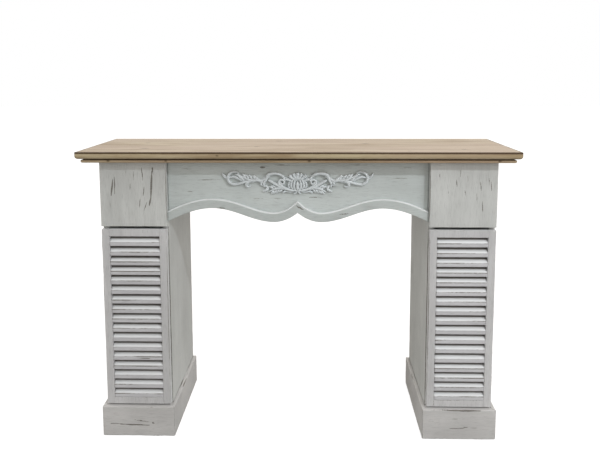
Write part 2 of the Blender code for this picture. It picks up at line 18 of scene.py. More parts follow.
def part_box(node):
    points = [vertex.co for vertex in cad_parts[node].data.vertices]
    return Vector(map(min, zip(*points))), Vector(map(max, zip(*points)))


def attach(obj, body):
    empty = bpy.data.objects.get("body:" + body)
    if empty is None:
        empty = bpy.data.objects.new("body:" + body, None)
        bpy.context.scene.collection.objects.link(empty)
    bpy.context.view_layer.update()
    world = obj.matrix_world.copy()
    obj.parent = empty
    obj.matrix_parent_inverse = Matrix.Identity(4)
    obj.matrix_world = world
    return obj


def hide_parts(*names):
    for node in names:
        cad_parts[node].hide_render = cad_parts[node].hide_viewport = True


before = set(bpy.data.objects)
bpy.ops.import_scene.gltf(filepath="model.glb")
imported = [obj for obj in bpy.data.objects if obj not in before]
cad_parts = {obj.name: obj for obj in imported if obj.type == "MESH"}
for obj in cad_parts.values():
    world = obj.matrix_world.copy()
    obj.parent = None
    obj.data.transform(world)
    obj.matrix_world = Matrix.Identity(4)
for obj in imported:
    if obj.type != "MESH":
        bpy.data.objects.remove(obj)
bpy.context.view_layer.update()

LOG = logging.getLogger("fireplace_surround")
SIDES = {"left": -1, "right": 1}
LIT_POINT = (0.0, -0.1, 0.45)
LEFT_SEED = 7
RIGHT_SEED = 19

# Planes that several pieces share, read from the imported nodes
INNER_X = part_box("inner_side_right")[0].x
CARCASS_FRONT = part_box("inner_side_right")[0].y
CARCASS_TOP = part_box("inner_side_right")[1].z

Colour = tuple[float, float, float]
Point = tuple[float, float, float]
Flat = tuple[float, float]
Stroke = list[tuple[float, float, float, float]]
Socket = bpy.types.NodeSocket
Fed = Union[bpy.types.NodeSocket, float, Sequence[float]]

# How far in from an arris its wear and the cuts near it reach
ARRIS_REACH = 0.006
CUTS_PAST_ARRIS = (0.0022, 0.0065)


def srgb(red: int, green: int, blue: int) -> Colour:
    """Turn a colour on the 0 to 255 screen scale into linear values.

    Args:
        red: Red on the screen scale.
        green: Green.
        blue: Blue.

    Returns:
        The three linear values, from 0 to 1.
    """
    linear = []
    for value in (red, green, blue):
        share = value / 255
        linear.append(share / 12.92 if share <= 0.04045 else ((share + 0.055) / 1.055) ** 2.4)
    return tuple(linear)


def smoothstep(value: np.ndarray, low: float, high: float) -> np.ndarray:
    """Rise smoothly from 0 at low to 1 at high, or fall where high is below low."""
    share = np.clip((value - low) / (high - low), 0.0, 1.0)
    return share * share * (3 - 2 * share)


def spread_cuts(low: float, high: float, radius: float, step: float) -> np.ndarray:
    """Place cuts along one side of a board: close together at its arrises, even between.

    Args:
        low: Where the board starts.
        high: Where it ends.
        radius: Radius of its eased arrises.
        step: Widest distance between two cuts.

    Returns:
        Rising positions, both ends included.
    """
    near = [0.0, 0.586 * radius, radius]
    near += [radius + past for past in CUTS_PAST_ARRIS]
    near = [value for value in near if value < (high - low) / 2 - 0.0005]
    start = low + near[-1]
    stop = high - near[-1]
    count = max(1, math.ceil((stop - start) / step))
    middle = np.linspace(start, stop, count + 1)
    return np.concatenate([[low + value for value in near[:-1]], middle,
                           [high - value for value in reversed(near[:-1])]])


def lattice(xs: Sequence[float], ys: Sequence[float],
            zs: Sequence[float]) -> tuple[np.ndarray, np.ndarray]:
    """Return the points and outward quads on the surface of a box cut at given positions.

    Args:
        xs: Rising positions of the cuts along X, both sides included.
        ys: The same along Y.
        zs: The same along Z.

    Returns:
        The points and the quads, four point numbers each.
    """
    sizes = (len(xs), len(ys), len(zs))
    on_surface = np.zeros(sizes, bool)
    for axis in range(3):
        ends = [slice(None)] * 3
        ends[axis] = [0, -1]
        on_surface[tuple(ends)] = True
    number = np.full(sizes, -1)
    number[on_surface] = np.arange(on_surface.sum())
    grid = np.stack(np.meshgrid(xs, ys, zs, indexing="ij"), axis=-1)
    faces = []
    sheets = (number[:, :, -1], number[:, :, 0].T, number[-1, :, :], number[0, :, :].T,
              number[:, -1, :].T, number[:, 0, :])
    for sheet in sheets:
        faces.append(np.stack([sheet[:-1, :-1], sheet[1:, :-1], sheet[1:, 1:],
                               sheet[:-1, 1:]], axis=-1).reshape(-1, 4))
    return grid[on_surface], np.concatenate(faces)


def sweep(sections: np.ndarray) -> tuple[np.ndarray, list[list[int]]]:
    """Join closed sections of equal length into a tube with flat ends.

    Args:
        sections: Array of sections, points in a section, and three coordinates.

    Returns:
        The points and the faces, which point outwards when each section turns anticlockwise
        as seen from where the sweep ends.
    """
    count, size, _ = sections.shape
    faces = [list(reversed(range(size))),
             [(count - 1) * size + place for place in range(size)]]
    for ring in range(count - 1):
        start = ring * size
        for here in range(size):
            there = (here + 1) % size
            faces.append([start + here, start + there, start + size + there,
                          start + size + here])
    return sections.reshape(-1, 3), faces


def quarter_round(radius: float, steps: int) -> list[tuple[float, float, float]]:
    """Set out a quarter round that turns from a level face to an upright one.

    Args:
        radius: Its radius.
        steps: How many straight lengths it is cut into.

    Returns:
        Inset from the upright face, rise from the level one and share of the turn.
    """
    turns = [(step / steps, math.radians(90 * step / steps)) for step in range(steps + 1)]
    return [(radius * (1 - math.sin(turn)), radius * (1 - math.cos(turn)), share)
            for share, turn in turns]


def roughness_at(points: np.ndarray, scale: float, seed: float) -> np.ndarray:
    """Read smooth noise from -1 to 1 at each point."""
    shift = Vector((seed * 7.31, seed * 3.17, seed * 5.53))
    return np.array([noise.noise(Vector(point) * scale + shift) for point in points])


def add_object(name: str, data: bpy.types.ID) -> bpy.types.Object:
    """Put a new object into the scene, at the origin.

    Args:
        name: Name of the object.
        data: Its mesh, curve, lamp or camera.

    Returns:
        The object.
    """
    item = bpy.data.objects.new(name, data)
    bpy.context.scene.collection.objects.link(item)
    return item


def evaluated_mesh(item: bpy.types.Object) -> bpy.types.Mesh:
    """Return a plain mesh of an object with its modifiers applied.

    Args:
        item: The object.

    Returns:
        The mesh, without the object's name or modifiers.
    """
    bpy.context.view_layer.update()
    graph = bpy.context.evaluated_depsgraph_get()
    return bpy.data.meshes.new_from_object(item.evaluated_get(graph))


def keep_values(mesh: bpy.types.Mesh, values: dict[str, np.ndarray]) -> None:
    """Store named values on a mesh, one for each point."""
    for key, numbers in values.items():
        attribute = mesh.attributes.new(key, "FLOAT", "POINT")
        attribute.data.foreach_set("value", numbers.astype(np.float32))


@dataclass(frozen=True)
class Scar:
    """A place where the paint is rubbed through, along a line on a board's face."""

    start: Point
    end: Point
    width: float = 0.0022
    depth: float = 1.0

    def strength(self, points: np.ndarray) -> np.ndarray:
        """Return how much of the paint is gone at each point, from 0 to 1.

        Args:
            points: Array of points.

        Returns:
            One value for each point.
        """
        start = np.array(self.start)
        along = np.array(self.end) - start
        share = np.clip((points - start) @ along / (along @ along), 0.0, 1.0)
        away = np.linalg.norm(points - start - share[:, None] * along, axis=1)
        taper = 0.35 + 0.65 * np.sin(np.pi * np.clip(share, 0.04, 0.96))
        return self.depth * smoothstep(away / (self.width * taper), 1.6, 0.5)


def marks_on(face: float, marks: Iterable[Sequence[float]]) -> tuple[Scar, ...]:
    """Turn rows of x, z, end x, end z, width and depth into scars on one upright face."""
    return tuple(Scar((x, face, z), (x_end, face, z_end), width, depth)
                 for x, z, x_end, z_end, width, depth in marks)


def scarred(points: np.ndarray, scars: Iterable[Scar]) -> np.ndarray:
    """Return how much of the paint all the scars take away together.

    Args:
        points: Array of points.
        scars: The scars on the piece.

    Returns:
        One value for each point, from 0 to 1.
    """
    gone = np.zeros(len(points))
    for scar in scars:
        gone = np.maximum(gone, scar.strength(points))
    return gone


class Shell:
    """Points, faces and wear values of one piece, gathered board by board."""

    def __init__(self) -> None:
        """Start with nothing."""
        self.points: list[np.ndarray] = []
        self.faces: list[list[int]] = []
        self.values: dict[str, list[np.ndarray]] = {}
        self.count = 0

    def add(self, points: np.ndarray, faces: Iterable[Sequence[int]],
            **values: np.ndarray) -> None:
        """Take in one closed form with named values for its points.

        Args:
            points: The form's points.
            faces: Its faces, numbered from its own first point.
            values: Wear values by name, one for each point. A name left out means zeros.
        """
        self.faces += [[int(corner) + self.count for corner in face] for face in faces]
        self.points.append(points)
        for name in set(values) | set(self.values):
            kept = self.values.setdefault(name, [np.zeros(self.count)] if self.count else [])
            kept.append(values.get(name, np.zeros(len(points))))
        self.count += len(points)

    def make(self, name: str) -> bpy.types.Object:
        """Return the piece as a smooth-shaded object at the origin.

        Args:
            name: Name of the piece.

        Returns:
            The object, linked into the scene.
        """
        mesh = bpy.data.meshes.new(name)
        mesh.from_pydata(np.concatenate(self.points).tolist(), [], self.faces)
        mesh.shade_smooth()
        keep_values(mesh, {key: np.concatenate(parts) for key, parts in self.values.items()})
        return add_object(name, mesh)


@dataclass(frozen=True)
class Board:
    """A sawn board with eased, knocked arrises.

    low and high are its corners, step is the distance between cuts on its faces, and scars
    are the places where its paint is rubbed through.
    """

    low: Point
    high: Point
    arris: float = 0.0012
    wear: float = 0.0007
    step: tuple[float, float, float] = (0.012, 0.012, 0.012)
    seed: float = 0.0
    scars: tuple[Scar, ...] = ()

    def add_to(self, shell: Shell,
               shape: Callable[[np.ndarray], np.ndarray] | None = None) -> None:
        """Add the board to a shell.

        Args:
            shell: What gathers the piece.
            shape: Moves the finished points, as for a mitre.
        """
        low = np.array(self.low)
        high = np.array(self.high)
        radius = min(self.arris, 0.45 * (high - low).min())
        cuts = [spread_cuts(low[axis], high[axis], radius, self.step[axis])
                for axis in range(3)]
        points, faces = lattice(*cuts)
        gaps = np.sort(np.minimum(points - low, high - points), axis=1)
        arris = smoothstep(gaps[:, 1], radius + ARRIS_REACH, radius * 0.6)
        inner = np.clip(points, low + radius, high - radius)
        outwards = points - inner
        outwards /= np.linalg.norm(outwards, axis=1)[:, None]
        knocks = (roughness_at(points, 28, self.seed) + 0.5 * roughness_at(points, 90, self.seed))
        depth = self.wear * np.clip(knocks, 0.0, 1.0) * arris
        points = inner + outwards * (radius - depth)[:, None]
        scar = scarred(points, self.scars)
        if shape is not None:
            points = shape(points)
        shell.add(points, faces, arris=arris, scar=scar)


class Graph:
    """Adds nodes to one shader tree and wires them."""

    def __init__(self, tree: bpy.types.NodeTree) -> None:
        """Work on a tree."""
        self.tree = tree

    def node(self, kind: str, inputs: dict[str | int, Fed] | None = None,
             **settings: Any) -> bpy.types.Node:
        """Add a node, with values or sockets for its inputs and its other settings.

        Args:
            kind: Blender's name for the kind of node.
            inputs: Values or sockets, by the input's name or number.
            settings: Other settings of the node, such as its operation.

        Returns:
            The node.
        """
        made = self.tree.nodes.new(kind)
        for name, value in settings.items():
            setattr(made, name, value)
        for key, value in (inputs or {}).items():
            self.feed(made.inputs[key], value)
        return made

    def feed(self, socket: Socket, value: Fed) -> None:
        """Link a socket to another one, or set its value.

        Args:
            socket: The input to fill.
            value: An output to link, or a plain value.
        """
        if isinstance(value, Socket):
            self.tree.links.new(value, socket)
        elif socket.type == "RGBA" and len(value) == 3:
            socket.default_value = (*value, 1.0)
        else:
            socket.default_value = value

    def noise(self, vector: Socket, scale: Fed, detail: float = 2.0, roughness: float = 0.5,
              distortion: float = 0.0) -> Socket:
        """Return a noise value from 0 to 1."""
        made = self.node("ShaderNodeTexNoise", {
            "Vector": vector, "Scale": scale, "Detail": detail, "Roughness": roughness,
            "Distortion": distortion})
        return made.outputs[0]

    def math(self, operation: str, first: Fed, second: Fed = 0.0) -> Socket:
        """Return the result of one sum on two values."""
        made = self.node("ShaderNodeMath", {0: first, 1: second}, operation=operation)
        return made.outputs[0]

    def ease(self, value: Socket, low: float, high: float, start: float = 0.0,
             stop: float = 1.0) -> Socket:
        """Map a value smoothly from low to high onto start to stop."""
        made = self.node("ShaderNodeMapRange",
                         {0: value, 1: low, 2: high, 3: start, 4: stop},
                         interpolation_type="SMOOTHSTEP", clamp=True)
        return made.outputs[0]

    def mix(self, share: Fed, first: Fed, second: Fed) -> Socket:
        """Return a mix of two colours."""
        made = self.node("ShaderNodeMix", {0: share, 6: first, 7: second}, data_type="RGBA")
        return made.outputs[2]

    def stretch(self, vector: Socket, scale: Point,
                location: Point = (0.0, 0.0, 0.0)) -> Socket:
        """Return coordinates moved and scaled."""
        made = self.node("ShaderNodeMapping",
                         {"Vector": vector, "Scale": scale, "Location": location})
        return made.outputs[0]

    def value_of(self, name: str) -> Socket:
        """Return a value that the mesh keeps for its points."""
        made = self.node("ShaderNodeAttribute", attribute_type="GEOMETRY", attribute_name=name)
        return made.outputs["Fac"]

    def place(self) -> Socket:
        """Return the coordinates of the piece itself."""
        return self.node("ShaderNodeTexCoord").outputs["Object"]

    def bump(self, height: Socket, distance: float, strength: float) -> Socket:
        """Return a normal that a height pushes about, by a distance in metres."""
        inputs = {"Height": height, "Distance": distance, "Strength": strength}
        return self.node("ShaderNodeBump", inputs).outputs[0]

    def group(self, tree: bpy.types.NodeTree, **inputs: Fed) -> bpy.types.Node:
        """Add a shared group, with values or sockets for its inputs."""
        return self.node("ShaderNodeGroup", inputs, node_tree=tree)


class SharedEffects:
    """Shader groups that more than one finish uses, each built once."""

    def __init__(self) -> None:
        """Build all the groups."""
        self.worn_edge = self.build_worn_edge()
        self.streaks = self.build_streaks()
        self.brush = self.build_brush()

    @staticmethod
    def start(name: str, inputs: Sequence[tuple[str, str, float | None]],
              outputs: Sequence[tuple[str, str]]
              ) -> tuple[bpy.types.NodeTree, Graph, bpy.types.Node, bpy.types.Node]:
        """Begin a new group.

        Args:
            name: Name of the group.
            inputs: Label, kind and default of each input.
            outputs: Label and kind of each output.

        Returns:
            The group's tree, its graph, and its input and output nodes.
        """
        tree = bpy.data.node_groups.new(name, "ShaderNodeTree")
        for label, kind, default in inputs:
            socket = tree.interface.new_socket(name=label, in_out="INPUT", socket_type=kind)
            if default is not None:
                socket.default_value = default
        for label, kind in outputs:
            tree.interface.new_socket(name=label, in_out="OUTPUT", socket_type=kind)
        graph = Graph(tree)
        return tree, graph, graph.node("NodeGroupInput"), graph.node("NodeGroupOutput")

    def build_worn_edge(self) -> bpy.types.NodeTree:
        """Build the group that rubs paint off along arrises, in broken lengths.

        Returns:
            The group's tree.
        """
        tree, graph, given, result = self.start(
            "worn edge",
            [("Vector", "NodeSocketVector", None), ("Arris", "NodeSocketFloat", 0.0),
             ("Reach", "NodeSocketFloat", 0.5), ("Scale", "NodeSocketFloat", 40.0)],
            [("Mask", "NodeSocketFloat")])
        place = given.outputs["Vector"]
        patches = graph.noise(place, graph.math("MULTIPLY", given.outputs["Scale"], 0.35), 2.0)
        ragged = graph.noise(place, graph.math("MULTIPLY", given.outputs["Scale"], 5.0), 3.0, 0.7)
        spread = graph.math("ADD", graph.math("MULTIPLY", patches, 1.3),
                            graph.math("MULTIPLY", ragged, 0.6))
        total = graph.math("ADD", graph.math("MULTIPLY", given.outputs["Arris"], 0.9), spread)
        total = graph.math("ADD", total, given.outputs["Reach"])
        inside = graph.ease(given.outputs["Arris"], 0.25, 0.8)
        mask = graph.math("MULTIPLY", graph.ease(total, 2.02, 2.2), inside)
        graph.feed(result.inputs["Mask"], mask)
        return tree

    def build_streaks(self) -> bpy.types.NodeTree:
        """Build the group that lays short rubbed streaks along the grain, in loose flocks.

        Returns:
            The group's tree.
        """
        tree, graph, given, result = self.start(
            "rubbed streaks",
            [("Vector", "NodeSocketVector", None), ("Grain", "NodeSocketVector", None),
             ("Cover", "NodeSocketFloat", 0.5)],
            [("Mask", "NodeSocketFloat"), ("Faint", "NodeSocketFloat")])
        flocks = graph.noise(given.outputs["Vector"], 9.0, 1.0, 0.5)
        lines = graph.noise(given.outputs["Grain"], 34.0, 3.0, 0.62, 0.25)
        total = graph.math("ADD", graph.math("MULTIPLY", flocks, 0.75), lines)
        total = graph.math("ADD", total, graph.math("MULTIPLY", given.outputs["Cover"], 0.2))
        graph.feed(result.inputs["Mask"], graph.ease(total, 1.19, 1.24))
        graph.feed(result.inputs["Faint"], graph.ease(total, 1.02, 1.22))
        return tree

    def build_brush(self) -> bpy.types.NodeTree:
        """Build the group that gives the ridges and tone of brushed paint.

        Returns:
            The group's tree.
        """
        tree, graph, given, result = self.start(
            "brush marks",
            [("Vector", "NodeSocketVector", None), ("Grain", "NodeSocketVector", None)],
            [("Tone", "NodeSocketFloat"), ("Height", "NodeSocketFloat")])
        broad = graph.noise(given.outputs["Grain"], 16.0, 2.0, 0.5, 0.4)
        fine = graph.noise(given.outputs["Grain"], 90.0, 2.0, 0.6)
        cloud = graph.noise(given.outputs["Vector"], 7.0, 2.0, 0.55)
        tone = graph.math("ADD", graph.math("MULTIPLY", broad, 0.4),
                          graph.math("MULTIPLY", cloud, 0.45))
        tone = graph.math("ADD", tone, graph.math("MULTIPLY", fine, 0.15))
        height = graph.math("ADD", graph.math("MULTIPLY", broad, 0.4),
                            graph.math("MULTIPLY", fine, 0.6))
        graph.feed(result.inputs["Tone"], graph.ease(tone, 0.3, 0.7))
        graph.feed(result.inputs["Height"], height)
        return tree


class Grain(Enum):
    """Which way a board's grain, brush marks and streaks run: its scales along X, Y and Z."""

    ACROSS = (0.11, 1.5, 1.5)
    DEEP = (1.5, 0.11, 1.5)
    UPRIGHT = (1.5, 1.5, 0.11)


def new_material(name: str) -> tuple[bpy.types.Material, Graph, bpy.types.Node]:
    """Return a material, its graph and its Principled shader.

    Args:
        name: Name of the material.

    Returns:
        The material, its graph and the shader node.
    """
    material = bpy.data.materials.new(name)
    material.use_nodes = True
    return material, Graph(material.node_tree), material.node_tree.nodes["Principled BSDF"]


@dataclass(frozen=True)
class PaintFinish:
    """Matt paint, brushed on along the grain and rubbed through here and there.

    cover is how much of it is streaked, reach how far its arrises are rubbed bare, and
    cavity says that a carving gets painted shade in its hollows and at its foot, and a painted
    highlight on its crowns. The shares are how strongly bare wood, the painted highlight and
    speckle show, and ridge is the height of its brush marks. Places that the mesh marks also
    get a painted highlight or painted shade.
    """

    name: str
    grain: Grain
    light: Colour = srgb(209, 211, 209)
    dark: Colour = srgb(191, 193, 191)
    bared: Colour = srgb(92, 88, 82)
    fresh: Colour = srgb(232, 235, 237)
    stale: Colour = srgb(96, 90, 82)
    cover: float = 0.0
    reach: float = 0.05
    wear_run: Point = (1.0, 1.0, 1.0)
    cavity: bool = False
    crown: Colour = srgb(238, 241, 242)
    speckle: float = 0.55
    bare_share: float = 0.86
    painted_highlight_share: float = 0.9
    ridge: float = 0.0005

    def make(self, effects: SharedEffects) -> bpy.types.Material:
        """Build the material.

        Args:
            effects: Groups that the finishes share.

        Returns:
            The material.
        """
        material, graph, shader = new_material(self.name)
        place = graph.place()
        along = graph.stretch(place, self.grain.value)
        brush = graph.group(effects.brush, Vector=place, Grain=along)
        streaks = graph.group(effects.streaks, Vector=place, Grain=along, Cover=self.cover)
        edge = graph.group(effects.worn_edge, Vector=graph.stretch(place, self.wear_run),
                           Arris=graph.value_of("arris"), Reach=self.reach)

        colour = graph.mix(brush.outputs["Tone"], self.dark, self.light)
        faint = tuple(0.72 * value for value in self.dark)
        colour = graph.mix(graph.math("MULTIPLY", streaks.outputs["Faint"], 0.3), colour, faint)
        fine = graph.noise(along, 330.0, 3.0, 0.75)
        colour = graph.mix(graph.ease(fine, 0.5, 0.70, 0.0, self.speckle), colour, faint)
        ragged = graph.noise(along, 420.0, 3.0, 0.7)
        scar = graph.ease(graph.math("ADD", graph.value_of("scar"),
                                     graph.math("MULTIPLY", ragged, 0.9)), 0.85, 1.02)
        bare = graph.math("MAXIMUM", streaks.outputs["Mask"], edge.outputs["Mask"])
        bare = graph.math("MAXIMUM", bare, scar)
        mottle = graph.noise(place, 260.0, 3.0, 0.6)
        pale_bare = tuple(1.9 * value for value in self.bared)
        colour = graph.mix(graph.math("MULTIPLY", bare, self.bare_share), colour,
                           graph.mix(graph.ease(mottle, 0.35, 0.7), self.bared, pale_bare))
        # Painted highlight: near-white paint on marked arrises, slat slopes and door edges, where
        # light falls
        colour = graph.mix(graph.math("MULTIPLY", graph.value_of("fresh"), self.painted_highlight_share),
                           colour, self.fresh)
        # Painted shade: dark paint deep in the louvre slots, under the slat fronts and faintly on
        # the frieze border's front face
        colour = graph.mix(graph.value_of("stale"), colour, self.stale)
        # Painted shade in the carving's hollows and at its foot, painted highlight on its crowns
        if self.cavity:
            hollow = graph.value_of("hollow")
            shade = tuple(0.30 * value for value in self.dark)
            colour = graph.mix(graph.ease(hollow, 0.1, 0.8, 0.0, 0.92), colour, shade)
            crown = graph.value_of("crown")
            colour = graph.mix(graph.ease(crown, 0.05, 0.6, 0.0, 0.75), colour, self.crown)
        graph.feed(shader.inputs["Base Color"], colour)
        rough = graph.ease(brush.outputs["Height"], 0.3, 0.7, 0.40, 0.52)
        graph.feed(shader.inputs["Roughness"],
                   graph.math("ADD", rough, graph.math("MULTIPLY", bare, 0.16)))
        height = graph.math("SUBTRACT", graph.math("MULTIPLY", brush.outputs["Height"], 0.4),
                            graph.math("MULTIPLY", bare, 0.5))
        graph.feed(shader.inputs["Normal"], graph.bump(height, self.ridge, 0.6))
        shader.inputs["Specular IOR Level"].default_value = 0.5
        return material


@dataclass(frozen=True)
class FirFinish:
    """Waxed fir boards with dark patina along their arrises and a few knots.

    knots holds each knot's place and radius, and joints the depths of the glued joints.
    """

    name: str
    knots: tuple[tuple[Point, float], ...]
    joints: tuple[float, ...] = ()
    pale: Colour = srgb(195, 181, 156)
    deep: Colour = srgb(148, 125, 97)
    rose: Colour = srgb(187, 168, 150)
    patina: Colour = srgb(70, 50, 30)
    band_tint: Colour = (0.97, 0.98, 0.86)
    joint_share: float = 0.55
    knot_share: float = 0.72
    patina_share: float = 0.94
    ridge: float = 0.0004

    def make(self, effects: SharedEffects) -> bpy.types.Material:
        """Build the material.

        Args:
            effects: Not needed here, since every finish is made alike.

        Returns:
            The material.
        """
        material, graph, shader = new_material(self.name)
        place = graph.place()
        warp = graph.noise(graph.stretch(place, (1.0, 3.0, 3.0)), 5.0, 2.0)
        bent = graph.node("ShaderNodeVectorMath", {
            0: place, 1: graph.node("ShaderNodeCombineXYZ", {
                "Y": graph.math("MULTIPLY", warp, 0.05),
                "Z": graph.math("MULTIPLY", warp, 0.03)}).outputs[0]},
            operation="ADD").outputs[0]
        along = graph.stretch(bent, (0.06, 1.0, 1.0))
        rings = graph.noise(along, 46.0, 3.0, 0.55, 0.3)
        fibre = graph.noise(graph.stretch(place, (0.02, 1.0, 1.0)), 420.0, 3.0, 0.65)
        cloud = graph.noise(graph.stretch(place, (0.5, 1.6, 1.6)), 4.0, 2.0)

        colour = graph.mix(graph.ease(rings, 0.34, 0.62), self.deep, self.pale)
        colour = graph.mix(graph.ease(cloud, 0.35, 0.7, 0.0, 0.7), colour, self.rose)
        darker = graph.mix(0.5, colour, self.deep)
        colour = graph.mix(graph.ease(fibre, 0.45, 0.7, 0.0, 0.6), colour, darker)
        for depth in self.joints:
            split = graph.node("ShaderNodeSeparateXYZ", {0: place})
            away = graph.math("ABSOLUTE", graph.math("SUBTRACT", split.outputs[1], depth))
            line = graph.ease(away, 0.0014, 0.0003, 0.0, self.joint_share)
            colour = graph.mix(line, colour, self.patina)
        knot_mask = 0.0
        wobble = graph.noise(place, 130.0, 3.0, 0.7)
        for (x, y, z), radius in self.knots:
            near = graph.stretch(place, (0.55, 1.0, 1.0), (-0.55 * x, -y, -z))
            away = graph.node("ShaderNodeVectorMath", {0: near}, operation="LENGTH").outputs[1]
            away = graph.math("ADD", away, graph.math("MULTIPLY", wobble, radius))
            blot = graph.ease(away, radius * 1.45, radius * 0.65)
            knot_mask = graph.math("MAXIMUM", blot, knot_mask)
        if self.knots:
            colour = graph.mix(graph.math("MULTIPLY", knot_mask, self.knot_share), colour,
                               self.patina)
        toned = graph.node("ShaderNodeMix", {0: 1.0, 6: colour, 7: self.band_tint},
                           data_type="RGBA", blend_type="MULTIPLY").outputs[2]
        colour = graph.mix(graph.value_of("band"), colour, toned)
        edge = graph.value_of("patina")
        broken = graph.noise(place, 60.0, 3.0, 0.6)
        dark = graph.ease(graph.math("ADD", edge, graph.math("MULTIPLY", broken, 0.5)),
                          0.55, 1.05)
        colour = graph.mix(graph.math("MULTIPLY", dark, self.patina_share), colour, self.patina)
        graph.feed(shader.inputs["Base Color"], colour)
        graph.feed(shader.inputs["Roughness"], graph.ease(fibre, 0.3, 0.7, 0.42, 0.56))
        height = graph.math("ADD", graph.math("MULTIPLY", rings, 0.5),
                            graph.math("MULTIPLY", fibre, 0.5))
        graph.feed(shader.inputs["Normal"], graph.bump(height, self.ridge, 0.5))
        shader.inputs["Specular IOR Level"].default_value = 0.4
        return material


@dataclass(frozen=True)
class SteelFinish:
    """Dull zinc-plated steel with fine scratches and a little tarnish."""

    name: str
    bright: Colour = srgb(176, 172, 164)
    tarnish: Colour = srgb(120, 112, 100)

    def make(self, effects: SharedEffects) -> bpy.types.Material:
        """Build the material.

        Args:
            effects: Not needed here, since every finish is made alike.

        Returns:
            The material.
        """
        material, graph, shader = new_material(self.name)
        place = graph.place()
        spots = graph.noise(place, 150.0, 4.0, 0.6)
        lines = graph.noise(graph.stretch(place, (1.0, 1.0, 0.08)), 900.0, 2.0, 0.6)
        graph.feed(shader.inputs["Base Color"],
                   graph.mix(graph.ease(spots, 0.4, 0.68), self.bright, self.tarnish))
        graph.feed(shader.inputs["Roughness"], graph.ease(spots, 0.35, 0.7, 0.34, 0.62))
        graph.feed(shader.inputs["Normal"], graph.bump(lines, 0.0001, 0.4))
        shader.inputs["Metallic"].default_value = 1.0
        return material


Finish = Union[PaintFinish, FirFinish, SteelFinish]


class Slot(Enum):
    """Material slots of the record."""

    PAINT = "painted_wood"
    RELIEF = "painted_relief"
    FIR = "fir"
    STEEL = "hinge_steel"


class Workshop:
    """Keeps the shared effects and the finishes, and fits pieces to their bodies."""

    def __init__(self) -> None:
        """Build the shared effects."""
        self.effects = SharedEffects()
        self.made: dict[str, bpy.types.Material] = {}

    def material(self, finish: Finish) -> bpy.types.Material:
        """Return a finish's material, built the first time it is asked for.

        Args:
            finish: The finish.

        Returns:
            Its material.
        """
        if finish.name not in self.made:
            self.made[finish.name] = finish.make(self.effects)
        return self.made[finish.name]

    def fit(self, piece: bpy.types.Object, finish: Finish, body: str,
            nodes: Sequence[str]) -> None:
        """Give a piece its finish and put it in place of the nodes that it stands for.

        Args:
            piece: The finished object.
            finish: Its finish.
            body: The body that it moves with.
            nodes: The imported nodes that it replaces.
        """
        piece.data.materials.clear()
        piece.data.materials.append(self.material(finish))
        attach(piece, body)
        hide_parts(*nodes)
        LOG.info("%s: %d faces on %s, for %d node(s)", piece.name, len(piece.data.polygons),
                 body, len(nodes))

    def finish_node(self, node: str, finish: Finish) -> None:
        """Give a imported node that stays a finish.

        Args:
            node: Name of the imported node.
            finish: Its finish.
        """
        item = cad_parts[node]
        material = self.material(finish)
        for holder in item.material_slots:
            holder.material = material
        LOG.info("%s: kept, finished in %s", node, finish.name)


